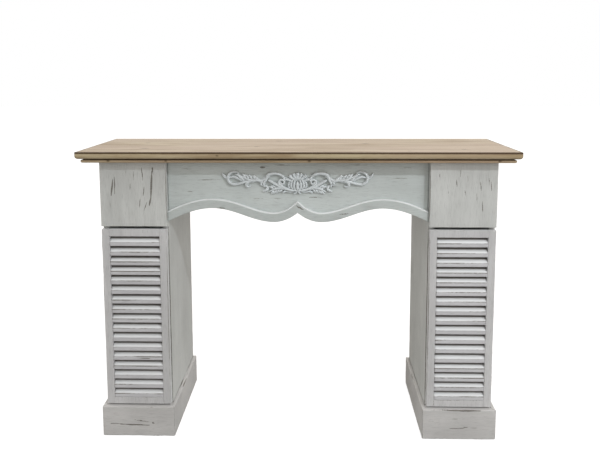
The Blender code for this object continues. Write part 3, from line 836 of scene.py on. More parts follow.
@dataclass
class Shelf:
    """The fir shelf and the thinner moulded board under it."""

    top_arris: float = 0.0015
    rounding: float = 0.009
    under_rounding: float = 0.005
    quirk_height: float = 0.0035
    quirk_depth: float = 0.005
    step: float = 0.010
    dent: float = 0.0006
    edge_patina: tuple[Flat, ...] = ((0.0085, 0.0), (0.0062, 0.25), (0.0042, 1.0), (0.0022, 1.0))
    plank_joints: tuple[float, ...] = (-0.118, -0.021, 0.083, 0.158)

    def moulded(self, node: str, levels: Sequence[tuple[float, float, float]],
                seed: float) -> Shell:
        """Return a board whose front and ends follow a moulding, with a square back.

        Args:
            node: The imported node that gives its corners.
            levels: Inset, height and patina of each line of the moulding, from the bottom.
            seed: What sets its knocks apart from other boards'.

        Returns:
            A shell with the board in it.
        """
        low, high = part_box(node)
        xs = spread_cuts(low.x, high.x, 0.004, self.step)
        ys = spread_cuts(low.y, high.y, 0.004, self.step)
        points, faces = lattice(xs, ys, np.arange(len(levels)))
        row = points[:, 2].astype(int)
        inset = np.array([level[0] for level in levels])[row]
        patina = np.array([level[2] for level in levels])[row]
        height = np.array([level[1] for level in levels])[row]
        half = (high.x - low.x) / 2
        centre = (high.x + low.x) / 2
        depth = high.y - low.y
        rim = np.minimum(np.minimum(points[:, 0] - low.x, high.x - points[:, 0]),
                         points[:, 1] - low.y)
        x = centre + (points[:, 0] - centre) * (half - inset) / half
        y = high.y - (high.y - points[:, 1]) * (depth - inset) / depth
        ends = np.isin(row, (0, len(levels) - 1))
        patina = patina * np.where(ends, smoothstep(rim, 0.006, 0.0), 1.0)
        knocks = roughness_at(np.stack([x, y, height * 3], 1), 22, seed)
        knocks += 0.6 * roughness_at(np.stack([x, y, height * 3], 1), 75, seed + 1)
        dent = self.dent * np.clip(knocks - 0.1, 0.0, 1.0) * (rim < 0.001)
        dent = dent * (patina > 0.5)
        x = x - np.sign(x) * dent * (np.abs(points[:, 0]) > half - 0.001)
        y = y + dent * (points[:, 1] < low.y + 0.001)
        shell = Shell()
        band = np.where(ends, smoothstep(rim, 0.002, 0.0), 1.0)
        shell.add(np.stack([x, y, height], 1), faces, patina=patina, band=band)
        return shell

    def shelf_levels(self) -> list[tuple[float, float, float]]:
        """Return the moulding of the shelf: a deep rounding below and a small one on top.

        Returns:
            Inset, height and patina of each line, from the bottom.
        """
        low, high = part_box("shelf_board")
        levels = [(inset, low.z + rise, 0.75 - 0.7 * share)
                  for inset, rise, share in quarter_round(self.rounding, 8)]
        levels += [(0.0, high.z - below, patina) for below, patina in self.edge_patina]
        return levels + [(inset, high.z - drop, 1.0)
                         for drop, inset, _ in quarter_round(self.top_arris, 3)]

    def under_levels(self) -> list[tuple[float, float, float]]:
        """Return the moulding of the lower board: a bead with a quirk above it.

        Returns:
            Inset, height and patina of each line, from the bottom.
        """
        low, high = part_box("under_board")
        quirk = high.z - self.quirk_height
        levels = [(inset, low.z + rise, 0.55 - 0.45 * share)
                  for inset, rise, share in quarter_round(self.under_rounding, 6)]
        return levels + [(0.0, quirk - 0.0010, 0.15), (0.0004, quirk, 0.8),
                         (self.quirk_depth - 0.0003, quirk + 0.0002, 1.0),
                         (self.quirk_depth, quirk + 0.0006, 1.0),
                         (self.quirk_depth, high.z, 1.0)]

    def build(self, shop: Workshop) -> None:
        """Make both boards and fit them.

        Args:
            shop: What keeps the finishes.
        """
        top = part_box("shelf_board")[1].z
        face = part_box("shelf_board")[0].y
        knots = (((-0.47, -0.10, top), 0.011), ((-0.13, -0.05, top), 0.008),
                 ((0.215, 0.04, top), 0.010), ((0.50, -0.12, top), 0.009),
                 ((-0.07, 0.12, top), 0.009), ((0.33, -0.165, top), 0.006),
                 ((-0.232, face, top - 0.010), 0.0038), ((-0.50, 0.06, top), 0.007))
        shelf = self.moulded("shelf_board", self.shelf_levels(), 1.0).make("fir_shelf")
        shop.fit(shelf, FirFinish("waxed fir shelf", knots, self.plank_joints),
                 "surround", ["shelf_board"])
        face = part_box("under_board")[0].y
        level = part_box("under_board")[0].z + 0.006
        knots = (((-0.556, face, level), 0.0052), ((-0.385, face, level), 0.0038),
                 ((0.036, face, level), 0.0048), ((0.588, face, level), 0.0046))
        under = self.moulded("under_board", self.under_levels(), 4.0).make("fir_under_moulding")
        shop.fit(under, FirFinish("waxed fir moulding", knots, (),
                                  pale=srgb(190, 171, 147), deep=srgb(160, 137, 111),
                                  rose=srgb(181, 154, 138)),
                 "surround", ["under_board"])


@dataclass
class Frieze:
    """The frieze board with a raised border along its serpentine lower edge."""

    thickness: float = 0.018
    cusp_drop: float = 0.156
    trough_drop: float = 0.184
    trough_x: float = 0.070
    crest_drop: float = 0.142
    crest_x: float = 0.256
    end_drop: float = 0.183
    border_width: float = 0.028
    border_proud: float = 0.012
    border_arris: float = 0.0035
    border_shade: float = 0.10
    border_set_back: float = 0.0012
    lower_arris: float = 0.0012
    dent: float = 0.0006
    step: float = 0.004
    cusp_reach: float = 0.02
    cusp_steps: int = 8
    rows: int = 92

    def edge(self, x: float) -> tuple[float, float]:
        """Return how far the lower edge lies below the top at x, and its slope there.

        Args:
            x: Place along the frieze.

        Returns:
            The drop, and its change for each metre of x.
        """
        away = abs(x)
        if away <= self.trough_x:
            rise = self.trough_drop - self.cusp_drop
            left = 1 - away / self.trough_x
            return self.trough_drop - rise * left ** 2, 2 * rise * left / self.trough_x
        if away <= self.crest_x:
            rise = self.trough_drop - self.crest_drop
            length = self.crest_x - self.trough_x
            turn = math.pi * (away - self.trough_x) / length
            return (self.trough_drop - rise * (1 - math.cos(turn)) / 2,
                    -rise * math.pi / 2 * math.sin(turn) / length)
        rise = self.end_drop - self.crest_drop
        length = INNER_X - self.crest_x
        turn = math.pi / 2 * (away - self.crest_x) / length
        return (self.crest_drop + rise * (1 - math.cos(turn)),
                rise * math.pi / 2 * math.sin(turn) / length)

    def above_edge(self, x: float, across: float) -> float:
        """Return the height of the point a distance across the border from the edge."""
        drop, slope = self.edge(x)
        return CARCASS_TOP - drop + across * math.hypot(1.0, slope)

    def stations(self) -> np.ndarray:
        """Return the places along the frieze where its section is set out.

        Returns:
            Rising places, closer together near the cusp.
        """
        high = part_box("frieze")[1]
        half = np.concatenate([
            np.linspace(0.0, self.cusp_reach, self.cusp_steps + 1)[:-1],
            np.linspace(self.cusp_reach, high.x,
                        math.ceil((high.x - self.cusp_reach) / self.step) + 1)])
        return np.concatenate([-half[:0:-1], half])

    def border_section(self) -> list[tuple[float, float, float]]:
        """Return (across, y, arris) round the border, anticlockwise seen from the right.

        Returns:
            Distance across the border, depth and wear of each line of the section.
        """
        front = CARCASS_FRONT - self.border_proud
        back = CARCASS_FRONT + self.thickness
        arris = self.border_arris
        width = self.border_width
        clear = back - self.border_set_back
        section = [(0.0, back - 0.001, 0.0), (0.001, back, 0.0),
                   (width * 0.5 - 0.0006, back, 0.0), (width * 0.5 + 0.0006, clear, 0.0),
                   (width, clear, 0.0), (width, CARCASS_FRONT, 0.0),
                   (width, front + arris + 0.003, 0.2)]
        section += [(width - inset, front + depth, 1.0 if 0.0 < share < 1.0 else 0.6)
                    for depth, inset, share in quarter_round(arris, 6)]
        section += [(width - arris - 0.002, front, 0.3), (width - arris - 0.006, front, 0.0),
                    (0.0165, front, 0.0), (0.0145, front, 0.0), (0.0120, front, 0.0),
                    (0.0094, front, 0.0), (0.0068, front, 0.0), (0.0032, front, 0.35)]
        section += [(across, front + depth, 1.0)
                    for across, depth, _ in quarter_round(self.lower_arris, 3)]
        section += [(0.0, front + 0.005, 0.2), (0.0, front + 0.010, 0.0)]
        return section

    def build(self, shop: Workshop) -> None:
        """Make the board and its border as one piece.

        Args:
            shop: What keeps the finishes.
        """
        stations = self.stations()
        section = self.border_section()
        rings = np.array([[(x, y, self.above_edge(x, across)) for across, y, _ in section]
                          for x in stations])
        arris = np.tile([value for _, _, value in section], len(stations))
        points, faces = sweep(rings)
        knocks = np.clip(roughness_at(points, 30, 11.0) + 0.5 * roughness_at(points, 95, 12.0)
                         - 0.1, 0.0, 1.0)
        proud = np.clip((CARCASS_FRONT - points[:, 1]) / self.border_proud, 0.0, 1.0)
        points[:, 1] += self.dent * knocks * (arris > 0.5) * proud
        # Painted highlight along the border's upper arris
        fresh = np.tile([1.0 if across > self.border_width - self.border_arris
                         and y < CARCASS_FRONT - 0.001 else 0.0
                         for across, y, _ in section], len(stations))
        # Faint painted shade on the border's front face
        shade = np.tile([self.border_shade if y < CARCASS_FRONT - self.border_proud + 0.0001
                         and across < self.border_width - self.border_arris else 0.0
                         for across, y, _ in section], len(stations))
        shell = Shell()
        border_scars = marks_on(CARCASS_FRONT - self.border_proud, (
            (-0.005, 0.7235, 0.018, 0.7100, 0.0022, 0.8),
            (0.124, 0.6975, 0.157, 0.6995, 0.0018, 0.75),
            (-0.245, 0.716, -0.215, 0.7145, 0.0018, 0.7)))
        shell.add(points, faces, arris=arris * 0.93, fresh=fresh, stale=shade,
                  scar=scarred(points, border_scars))

        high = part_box("frieze")[1]
        ys = spread_cuts(CARCASS_FRONT, CARCASS_FRONT + self.thickness, 0.0006, 0.009)
        share = np.linspace(0.0, 1.0, self.rows)
        points, faces = lattice(stations, ys, share)
        bottom = np.array([self.above_edge(x, self.border_width / 2) for x in points[:, 0]])
        points[:, 2] = bottom + (high.z - bottom) * points[:, 2]
        field_scars = marks_on(CARCASS_FRONT, (
            (-0.113, 0.8375, -0.098, 0.8378, 0.0030, 1.0),
            (-0.352, 0.833, -0.318, 0.8325, 0.0014, 0.6),
            (-0.312, 0.7985, -0.222, 0.8005, 0.0011, 0.65),
            (-0.335, 0.764, -0.314, 0.7635, 0.0014, 0.7),
            (0.262, 0.806, 0.335, 0.8045, 0.0011, 0.65),
            (0.30, 0.836, 0.345, 0.8368, 0.0012, 0.6),
            (-0.135, 0.742, -0.10, 0.7415, 0.0014, 0.6),
            (-0.072, 0.7425, -0.045, 0.742, 0.0014, 0.6),
            (0.036, 0.7465, 0.074, 0.7472, 0.0015, 0.65),
            (0.083, 0.7445, 0.108, 0.745, 0.0013, 0.55),
            (-0.070, 0.8455, -0.018, 0.8445, 0.0013, 0.6),
            (0.148, 0.8460, 0.216, 0.8445, 0.0014, 0.6)))
        ends = smoothstep(np.abs(points[:, 0]), high.x - ARRIS_REACH, high.x)
        shell.add(points, faces, arris=ends * (points[:, 1] < CARCASS_FRONT + 0.001),
                  scar=scarred(points, field_scars))
        piece = shell.make("frieze_with_border")
        shop.fit(piece, PaintFinish("brushed paint, frieze", Grain.ACROSS,
                                    light=srgb(206, 213, 212), dark=srgb(191, 198, 197),
                                    cover=0.4, reach=-0.02),
                 "surround", ["frieze"])


@dataclass
class Ornament:
    """The carved scroll-and-leaf ornament in the middle of the frieze.

    drop is the depth of its middle below the top of the frieze, and stroke_reach the height
    of its highest stroke in shares of half of its length, before it is brought to relief.
    """

    length: float = 0.459
    drop: float = 0.067
    relief: float = 0.013
    stroke_reach: float = 0.044
    voxel: float = 0.00078
    foot: float = 0.0045
    foot_shade: float = 0.8

    @staticmethod
    def oval(centre: Flat, radii: Flat, start: float, end: float,
             steps: int = 9) -> list[Flat]:
        """Return points along part of an oval, between two angles in degrees."""
        angles = [math.radians(start + (end - start) * step / steps)
                  for step in range(steps + 1)]
        return [(centre[0] + radii[0] * math.cos(angle), centre[1] + radii[1] * math.sin(angle))
                for angle in angles]

    @staticmethod
    def volute(centre: Flat, radius: float, start: float, turns: float, keep: float,
               steps: int = 9) -> list[Flat]:
        """Return points on a spiral that tightens from a radius to the share kept of it.

        Args:
            centre: Middle of the spiral.
            radius: Its first radius.
            start: Angle of its first point, in degrees.
            turns: How many turns it makes.
            keep: Share of the radius that is left at its end.
            steps: How many steps it takes.

        Returns:
            The points in order.
        """
        points = []
        for step in range(steps + 1):
            share = step / steps
            angle = math.radians(start + 360 * turns * share)
            size = radius * (1 - (1 - keep) * share)
            points.append((centre[0] + size * math.cos(angle),
                           centre[1] + size * math.sin(angle)))
        return points

    @staticmethod
    def tapered(points: Sequence[Flat], sizes: Sequence[float], lift: float) -> Stroke:
        """Pair the points of one stroke with half widths read evenly from a few sizes.

        Args:
            points: Points of the stroke, in order.
            sizes: Half widths from its start to its end.
            lift: How far it stands off the board.

        Returns:
            The stroke.
        """
        stroke = []
        for number, point in enumerate(points):
            place = number / (len(points) - 1) * (len(sizes) - 1)
            first = min(int(place), len(sizes) - 2)
            size = sizes[first] + (sizes[first + 1] - sizes[first]) * (place - first)
            stroke.append((*point, size, lift))
        return stroke

    def leaf(self, root: Flat, tip: Flat, spread: float, lobes: int,
             bend: float = 0.0) -> list[Stroke]:
        """Return the strokes of a carved leaf: a curved rib with lobes on both sides.

        Args:
            root: Where the rib starts.
            tip: Where it ends.
            spread: Length of its widest lobes.
            lobes: How many lobes it has on each side.
            bend: How far the rib bows, in shares of its length.

        Returns:
            The leaf's strokes.
        """
        root = Vector(root)
        along = Vector(tip) - root
        across = along.orthogonal().normalized()
        length = along.length

        def on_rib(share: float) -> Vector:
            """Return the point of the rib at a share of its length."""
            return root + along * share + across * (bend * length * math.sin(math.pi * share))

        rib = [tuple(on_rib(step / 4)) for step in range(5)]
        strokes = [self.tapered(rib, (0.014, 0.018, 0.006), 0.018)]
        for number in range(lobes):
            share = 0.10 + 0.68 * number / lobes
            reach = spread * math.sin(math.pi * (0.25 + 0.6 * share))
            start = on_rib(share)
            for hand in (-1, 1):
                lobe = [tuple(start)]
                for forward, by_reach, aside in ((0.10, 0.25, 0.6), (0.16, 0.6, 1.0)):
                    lobe.append(tuple(start + along * (forward + by_reach * reach / length)
                                      + across * hand * reach * aside))
                strokes.append(self.tapered(lobe, (0.012, 0.018, 0.008), 0.010))
        return strokes

    def palmette(self, base: Flat) -> list[Stroke]:
        """Return the right half of the shell: a ruffle of petals behind a nested bowl.

        Args:
            base: Where the petals of the bowl spring from.

        Returns:
            The strokes of the half.
        """
        strokes = []
        for lean, reach, width in ((0, 0.146, 0.031), (23, 0.142, 0.028), (46, 0.156, 0.029),
                                   (69, 0.172, 0.025)):
            turn = math.radians(lean)
            ray = [(reach * share * math.sin(turn), reach * share * math.cos(turn))
                   for share in (0.2, 0.5, 0.8, 1.0)]
            strokes.append(self.tapered(ray, (0.014, width * 0.9, width, 0.022), 0.001))
            tip = [(reach * share * math.sin(turn), reach * share * math.cos(turn))
                   for share in (0.58, 0.78, 0.95)]
            strokes.append(self.tapered(tip, (0.008, 0.015, 0.013), 0.020))
        for side, top, width, lift in ((0.0, 0.030, 0.023, 0.034), (0.038, 0.040, 0.019, 0.026),
                                       (0.071, 0.040, 0.018, 0.018),
                                       (0.102, 0.030, 0.017, 0.010)):
            petal = [base, (side * 1.0, base[1] + 0.024), (side * 1.14, -0.010),
                     (side * 0.90, top)]
            strokes.append(self.tapered(petal, (0.010, width * 0.9, width, 0.009), lift))
        return strokes

    def strokes(self) -> list[Stroke]:
        """Return the strokes of the right half, in shares of half of the length.

        Scrolls and stems come first, then leaves and curls, then the shell in the middle.

        Returns:
            Strokes, each a list of (across, up, half width, lift) points.
        """
        base = (0.0, -0.082)
        taper = self.tapered
        ring = self.oval((0.822, 0.069), (0.090, 0.083), 128, -100)
        stem = [(0.740, 0.002), (0.640, 0.034), (0.560, 0.044), (0.470, 0.030)]
        arch = self.oval((0.300, 0.032), (0.134, 0.100), 180, 50, 7)
        rise = [base, (0.060, -0.090), (0.130, -0.076), (0.200, -0.040)]
        strokes = [
            taper(ring + stem, [0.010, 0.018, 0.019, 0.018, 0.021], 0.012),
            taper(arch + [(0.412, 0.052), (0.440, -0.004), (0.436, -0.048)],
                  [0.014, 0.018, 0.022, 0.022, 0.010], 0.018),
            taper(rise + self.volute((0.204, 0.014), 0.042, -30, 1.15, 0.35),
                  [0.020, 0.018, 0.016, 0.014, 0.013], 0.020),
            taper([(0.120, -0.086), (0.200, -0.062), (0.280, -0.014), (0.345, 0.024),
                   (0.383, 0.044)], [0.010, 0.022, 0.022, 0.012], 0.016),
            taper([(0.915, 0.050), (0.945, 0.078), (0.968, 0.104), (0.990, 0.140)],
                  [0.012, 0.015, 0.014, 0.006], 0.008),
            taper([(0.705, 0.045), (0.748, 0.084), (0.780, 0.112), (0.815, 0.122)],
                  [0.014, 0.018, 0.015, 0.007], 0.020),
            taper([(0.905, 0.070), (0.830, 0.085), (0.745, 0.050), (0.690, 0.030)],
                  [0.009, 0.020, 0.020, 0.012], 0.010),
            taper([(0.360, 0.095), (0.420, 0.066), (0.479, 0.036), (0.536, 0.068),
                   (0.574, 0.104)], [0.016, 0.020, 0.020, 0.008], 0.012),
            taper([(0.610, 0.036), (0.662, 0.004), (0.665, -0.036), (0.610, -0.040)],
                  [0.022, 0.024, 0.018, 0.010], 0.010),
            taper([(0.455, 0.030), (0.474, -0.006), (0.462, -0.034)], [0.018, 0.018, 0.010],
                  0.010),
            taper([(0.425, -0.030), (0.392, -0.060), (0.405, -0.086), (0.455, -0.112)],
                  [0.012, 0.018, 0.020, 0.010], 0.010),
            taper([base, (0.090, -0.112), (0.160, -0.106), (0.196, -0.124)],
                  [0.016, 0.016, 0.015, 0.014], 0.008),
            taper([(0.012, -0.090), (0.022, -0.122), (0.050, -0.136)], [0.024, 0.014, 0.010],
                  0.014),
        ]
        strokes += self.leaf((0.510, 0.040), (0.760, 0.112), 0.052, 4, bend=-0.10)
        strokes += self.leaf((0.170, -0.058), (0.375, -0.112), 0.056, 4, bend=0.08)
        return strokes + self.palmette(base)

    def carve(self) -> bpy.types.Mesh:
        """Return the strokes fused into one closed relief, in place.

        Returns:
            The relief's mesh.
        """
        unit = self.length / 2
        depth = self.relief / (unit * self.stroke_reach)
        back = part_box("ornament")[1].y
        curve = bpy.data.curves.new("ornament_strokes", "CURVE")
        curve.dimensions = "3D"
        curve.bevel_depth = unit
        curve.bevel_resolution = 4
        curve.resolution_u = 8
        curve.use_fill_caps = True
        for stroke in self.strokes():
            for hand in (-1, 1):
                spline = curve.splines.new("BEZIER")
                spline.bezier_points.add(len(stroke) - 1)
                for point, (across, up, size, lift) in zip(spline.bezier_points, stroke):
                    point.co = (hand * across * unit, -lift * unit, up * unit)
                    point.handle_left_type = "AUTO"
                    point.handle_right_type = "AUTO"
                    point.radius = size
        carrier = add_object("ornament_strokes", curve)
        mesh = evaluated_mesh(carrier)
        bpy.data.objects.remove(carrier, do_unlink=True)
        work = bmesh.new()
        work.from_mesh(mesh)
        bmesh.ops.remove_doubles(work, verts=work.verts, dist=0.00001)
        bmesh.ops.scale(work, vec=(1.0, depth, 1.0), verts=work.verts)
        bmesh.ops.translate(work, verts=work.verts,
                            vec=(0.0, back, CARCASS_TOP - self.drop))
        work.to_mesh(mesh)
        work.free()
        return self.fuse(mesh, back)

    def fuse(self, mesh: bpy.types.Mesh, back: float) -> bpy.types.Mesh:
        """Melt overlapping strokes together, smooth them a little and cut the back flat.

        Args:
            mesh: The strokes as overlapping tubes.
            back: Depth of the flat back.

        Returns:
            The closed relief.
        """
        item = add_object("ornament_block", mesh)
        fuse = item.modifiers.new("fuse", "REMESH")
        fuse.mode = "VOXEL"
        fuse.voxel_size = self.voxel
        soften = item.modifiers.new("soften", "SMOOTH")
        soften.factor = 0.5
        soften.iterations = 2
        fused = evaluated_mesh(item)
        bpy.data.objects.remove(item, do_unlink=True)
        work = bmesh.new()
        work.from_mesh(fused)
        cut = bmesh.ops.bisect_plane(work, geom=work.verts[:] + work.edges[:] + work.faces[:],
                                     plane_co=(0.0, back, 0.0), plane_no=(0.0, 1.0, 0.0),
                                     clear_outer=True, dist=0.00001)
        rim = [part for part in cut["geom_cut"] if isinstance(part, bmesh.types.BMEdge)]
        bmesh.ops.triangle_fill(work, edges=rim, use_beauty=True, normal=(0.0, 1.0, 0.0))
        bmesh.ops.recalc_face_normals(work, faces=work.faces)
        work.to_mesh(fused)
        work.free()
        return fused

    def read_relief(self, mesh: bpy.types.Mesh) -> tuple[np.ndarray, np.ndarray]:
        """Measure how hollow and how raised the relief is, for painted shade and highlight.

        Args:
            mesh: The closed relief.

        Returns:
            Both values at each point, from 0 to 1. The foot of the carving counts as hollow,
            so it gets painted shade too.
        """
        count = len(mesh.vertices)
        points = np.zeros(count * 3)
        mesh.vertices.foreach_get("co", points)
        points = points.reshape(-1, 3)
        normals = np.zeros(count * 3)
        mesh.vertex_normals.foreach_get("vector", normals)
        normals = normals.reshape(-1, 3)
        edges = np.zeros(len(mesh.edges) * 2, int)
        mesh.edges.foreach_get("vertices", edges)
        edges = edges.reshape(-1, 2)
        degree = np.bincount(edges.ravel(), minlength=count).clip(1)

        def around(values: np.ndarray) -> np.ndarray:
            """Return the mean of each point's neighbours.

            Args:
                values: One value or vector for each point.

            Returns:
                The means, in the same order.
            """
            total = np.zeros_like(values)
            np.add.at(total, edges[:, 0], values[edges[:, 1]])
            np.add.at(total, edges[:, 1], values[edges[:, 0]])
            return total / (degree[:, None] if values.ndim > 1 else degree)

        smooth = points
        for _ in range(7):
            smooth = around(smooth)
        bend = ((smooth - points) * normals).sum(1)
        for _ in range(2):
            bend = (bend + around(bend)) / 2
        back = points[:, 1].max()
        foot = smoothstep(points[:, 1], back - self.foot, back - self.foot / 3)
        return (np.maximum(smoothstep(bend, 0.00003, 0.0004), self.foot_shade * foot),
                smoothstep(-bend, 0.0002, 0.0009))

    def build(self, shop: Workshop) -> None:
        """Carve the ornament and fit it.

        Args:
            shop: What keeps the finishes.
        """
        mesh = self.carve()
        hollow, crown = self.read_relief(mesh)
        keep_values(mesh, {"hollow": hollow, "crown": crown})
        mesh.shade_smooth()
        piece = add_object("carved_ornament", mesh)
        shop.fit(piece, PaintFinish("relief paint", Grain.ACROSS, light=srgb(221, 228, 231),
                                    dark=srgb(208, 215, 218), cover=-0.3, reach=-1.0,
                                    cavity=True),
                 "surround", ["ornament"])


@dataclass
class Pillar:
    """One cupboard pillar: side boards, back panel, floor board, head panel and plinth."""

    word: str
    side: int
    mitre: float = 0.0117

    def paint(self, grain: Grain, cover: float = -0.1, reach: float = 0.0) -> PaintFinish:
        """Return the pillar's paint for boards whose grain runs one way."""
        return PaintFinish(f"brushed paint, {grain.name.lower()} {cover:.2f}", grain,
                           cover=cover, reach=reach)

    def seam(self, away: float, depth: float, bottom: float, top: float,
             width: float = 0.0016, strength: float = 1.0) -> Scar:
        """Return a dark upright line along a joint."""
        x = self.side * away
        return Scar((x, depth, bottom), (x, depth, top), width, strength)

    def board(self, node: str, name: str, grain: Grain, shop: Workshop,
              cover: float = -0.1, **sizes: Any) -> None:
        """Make one board in the place of a node.

        Args:
            node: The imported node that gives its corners.
            name: Name of the piece.
            grain: Which way its grain runs.
            shop: What keeps the finishes.
            cover: How much of it is streaked.
            sizes: Other fields of the board.
        """
        low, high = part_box(node)
        shell = Shell()
        Board(tuple(low), tuple(high), **sizes).add_to(shell)
        shop.fit(shell.make(name), self.paint(grain, cover), "surround", [node])

    def head_scars(self) -> tuple[Scar, ...]:
        """Return the long rubbed streaks on this pillar's head panel.

        Returns:
            The dark joint line and the streaks.
        """
        marks = {
            "left": ((-0.435, 0.826, -0.440, 0.744, 0.0028, 1.0),
                     (-0.439, 0.752, -0.446, 0.722, 0.0026, 0.9),
                     (-0.466, 0.842, -0.462, 0.800, 0.0016, 0.9),
                     (-0.459, 0.782, -0.463, 0.752, 0.0014, 0.8),
                     (-0.452, 0.735, -0.462, 0.708, 0.0014, 0.8),
                     (-0.434, 0.842, -0.432, 0.829, 0.0024, 0.8),
                     (-0.553, 0.802, -0.560, 0.752, 0.0026, 0.9),
                     (-0.548, 0.812, -0.549, 0.760, 0.0016, 0.9),
                     (-0.511, 0.845, -0.514, 0.814, 0.0012, 0.55),
                     (-0.489, 0.832, -0.492, 0.800, 0.0012, 0.6),
                     (-0.500, 0.795, -0.503, 0.770, 0.0014, 0.6),
                     (-0.471, 0.752, -0.476, 0.715, 0.0014, 0.7),
                     (-0.432, 0.835, -0.430, 0.812, 0.0016, 0.6)),
            "right": ((0.572, 0.800, 0.575, 0.770, 0.0018, 0.7),
                      (0.566, 0.812, 0.568, 0.790, 0.0014, 0.65),
                      (0.483, 0.842, 0.481, 0.808, 0.0014, 0.65),
                      (0.420, 0.828, 0.421, 0.806, 0.0014, 0.6),
                      (0.470, 0.806, 0.473, 0.782, 0.0018, 0.75),
                      (0.496, 0.778, 0.498, 0.756, 0.0014, 0.65),
                      (0.541, 0.800, 0.544, 0.770, 0.0016, 0.7),
                      (0.531, 0.765, 0.533, 0.728, 0.0014, 0.6),
                      (0.503, 0.825, 0.505, 0.792, 0.0014, 0.6),
                      (0.447, 0.780, 0.449, 0.745, 0.0014, 0.5),
                      (0.548, 0.742, 0.550, 0.706, 0.0018, 0.7)),
        }
        low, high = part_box(f"head_panel_{self.word}")
        joint = self.seam(INNER_X, low.y, low.z, high.z, 0.0016, 0.9)
        return (joint,) + marks_on(low.y, marks[self.word])

    def build_carcass(self, shop: Workshop) -> None:
        """Make the side boards, back panel and floor board.

        Args:
            shop: What keeps the finishes.
        """
        seed = 20.0 + self.side
        foot, top = (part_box(f"door_frame_{self.word}")[end].z for end in (0, 1))
        self.board(f"inner_side_{self.word}", f"inner_side_board_{self.word}", Grain.UPRIGHT,
                   shop, seed=seed,
                   scars=(self.seam(INNER_X, CARCASS_FRONT, foot, top, 0.0024),))
        self.board(f"outer_side_{self.word}", f"outer_side_board_{self.word}", Grain.UPRIGHT,
                   shop, seed=seed + 2)
        self.board(f"back_panel_{self.word}", f"back_board_{self.word}", Grain.UPRIGHT, shop,
                   arris=0.0005, wear=0.0002, step=(0.02, 0.02, 0.02), seed=seed + 4)
        self.board(f"floor_board_{self.word}", f"cupboard_floor_{self.word}", Grain.DEEP, shop,
                   arris=0.0006, wear=0.0003, step=(0.02, 0.02, 0.02), seed=seed + 6)

    def build_head(self, shop: Workshop) -> None:
        """Make the head panel, with fine cuts for its streaks."""
        self.board(f"head_panel_{self.word}", f"head_board_{self.word}", Grain.UPRIGHT, shop,
                   cover=0.05, wear=0.0010, step=(0.0016, 0.01, 0.006), seed=30.0 + self.side,
                   scars=self.head_scars())

    def plinth_scars(self) -> tuple[Scar, ...]:
        """Return the streaks on the front of this pillar's plinth.

        Returns:
            The dark corner line and the streaks.
        """
        marks = {
            "left": ((-0.580, 0.040, -0.505, 0.037, 0.0012, 0.8),
                     (-0.548, 0.0375, -0.462, 0.0355, 0.0020, 1.0),
                     (-0.507, 0.053, -0.462, 0.046, 0.0016, 0.9),
                     (-0.452, 0.045, -0.446, 0.041, 0.0030, 1.0),
                     (-0.520, 0.022, -0.485, 0.016, 0.0012, 0.5)),
            "right": ((0.457, 0.0935, 0.556, 0.0932, 0.0030, 1.0),
                      (0.398, 0.058, 0.436, 0.055, 0.0012, 0.6),
                      (0.455, 0.034, 0.520, 0.037, 0.0016, 0.8),
                      (0.508, 0.040, 0.560, 0.036, 0.0012, 0.7),
                      (0.470, 0.066, 0.492, 0.067, 0.0014, 0.6)),
        }
        low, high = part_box(f"plinth_{self.word}")
        near = min(abs(low.x), abs(high.x))
        corner = self.seam(near, low.y, low.z + 0.004, high.z - 0.006, 0.0014, 0.72)
        return (corner,) + marks_on(low.y, marks[self.word])

    def build_plinth(self, shop: Workshop) -> None:
        """Make the three skirting boards, mitred where they meet.

        Args:
            shop: What keeps the finishes.
        """
        low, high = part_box(f"plinth_{self.word}")
        seat_front = CARCASS_FRONT - 0.0003
        depth = self.mitre
        shell = Shell()
        face = low.y
        middle = (low.x + high.x) / 2
        half = (high.x - low.x) / 2

        def mitre_front(points: np.ndarray) -> np.ndarray:
            """Draw both ends in towards the back of the front board.

            Args:
                points: Points of the board.

            Returns:
                The moved points.
            """
            lost = np.clip(points[:, 1] - face, 0.0, depth)
            points[:, 0] = middle + (points[:, 0] - middle) * (half - lost) / half
            return points

        Board((low.x, face, low.z), (high.x, seat_front, high.z), arris=0.0026, wear=0.0012,
              step=(0.004, 0.01, 0.0022), seed=40.0 + self.side,
              scars=self.plinth_scars()).add_to(shell, mitre_front)
        for hand, edge in ((-1, low.x), (1, high.x)):
            inner = edge - hand * depth

            def mitre_return(points: np.ndarray, edge: float = edge) -> np.ndarray:
                """Draw the front end back where the board lies further from its face.

                Args:
                    points: Points of the board.
                    edge: Place of its outer face.

                Returns:
                    The moved points.
                """
                lost = np.abs(points[:, 0] - edge)
                run = high.y - face
                share = (high.y - points[:, 1]) / run
                points[:, 1] = high.y - share * (run - lost - 0.0002)
                return points

            Board((min(edge, inner), face, low.z), (max(edge, inner), high.y, high.z),
                  arris=0.0022, wear=0.0010, step=(0.006, 0.008, 0.006),
                  seed=44.0 + self.side + hand).add_to(shell, mitre_return)
        piece = shell.make(f"plinth_boards_{self.word}")
        shop.fit(piece, PaintFinish("brushed paint, plinth", Grain.ACROSS,
                                    light=srgb(209, 208, 207), dark=srgb(190, 189, 188),
                                    cover=0.0, reach=0.12),
                 "surround", [f"plinth_{self.word}"])

    def build(self, shop: Workshop) -> None:
        """Make the whole pillar.

        Args:
            shop: What keeps the finishes.
        """
        self.build_carcass(shop)
        self.build_head(shop)
        self.build_plinth(shop)


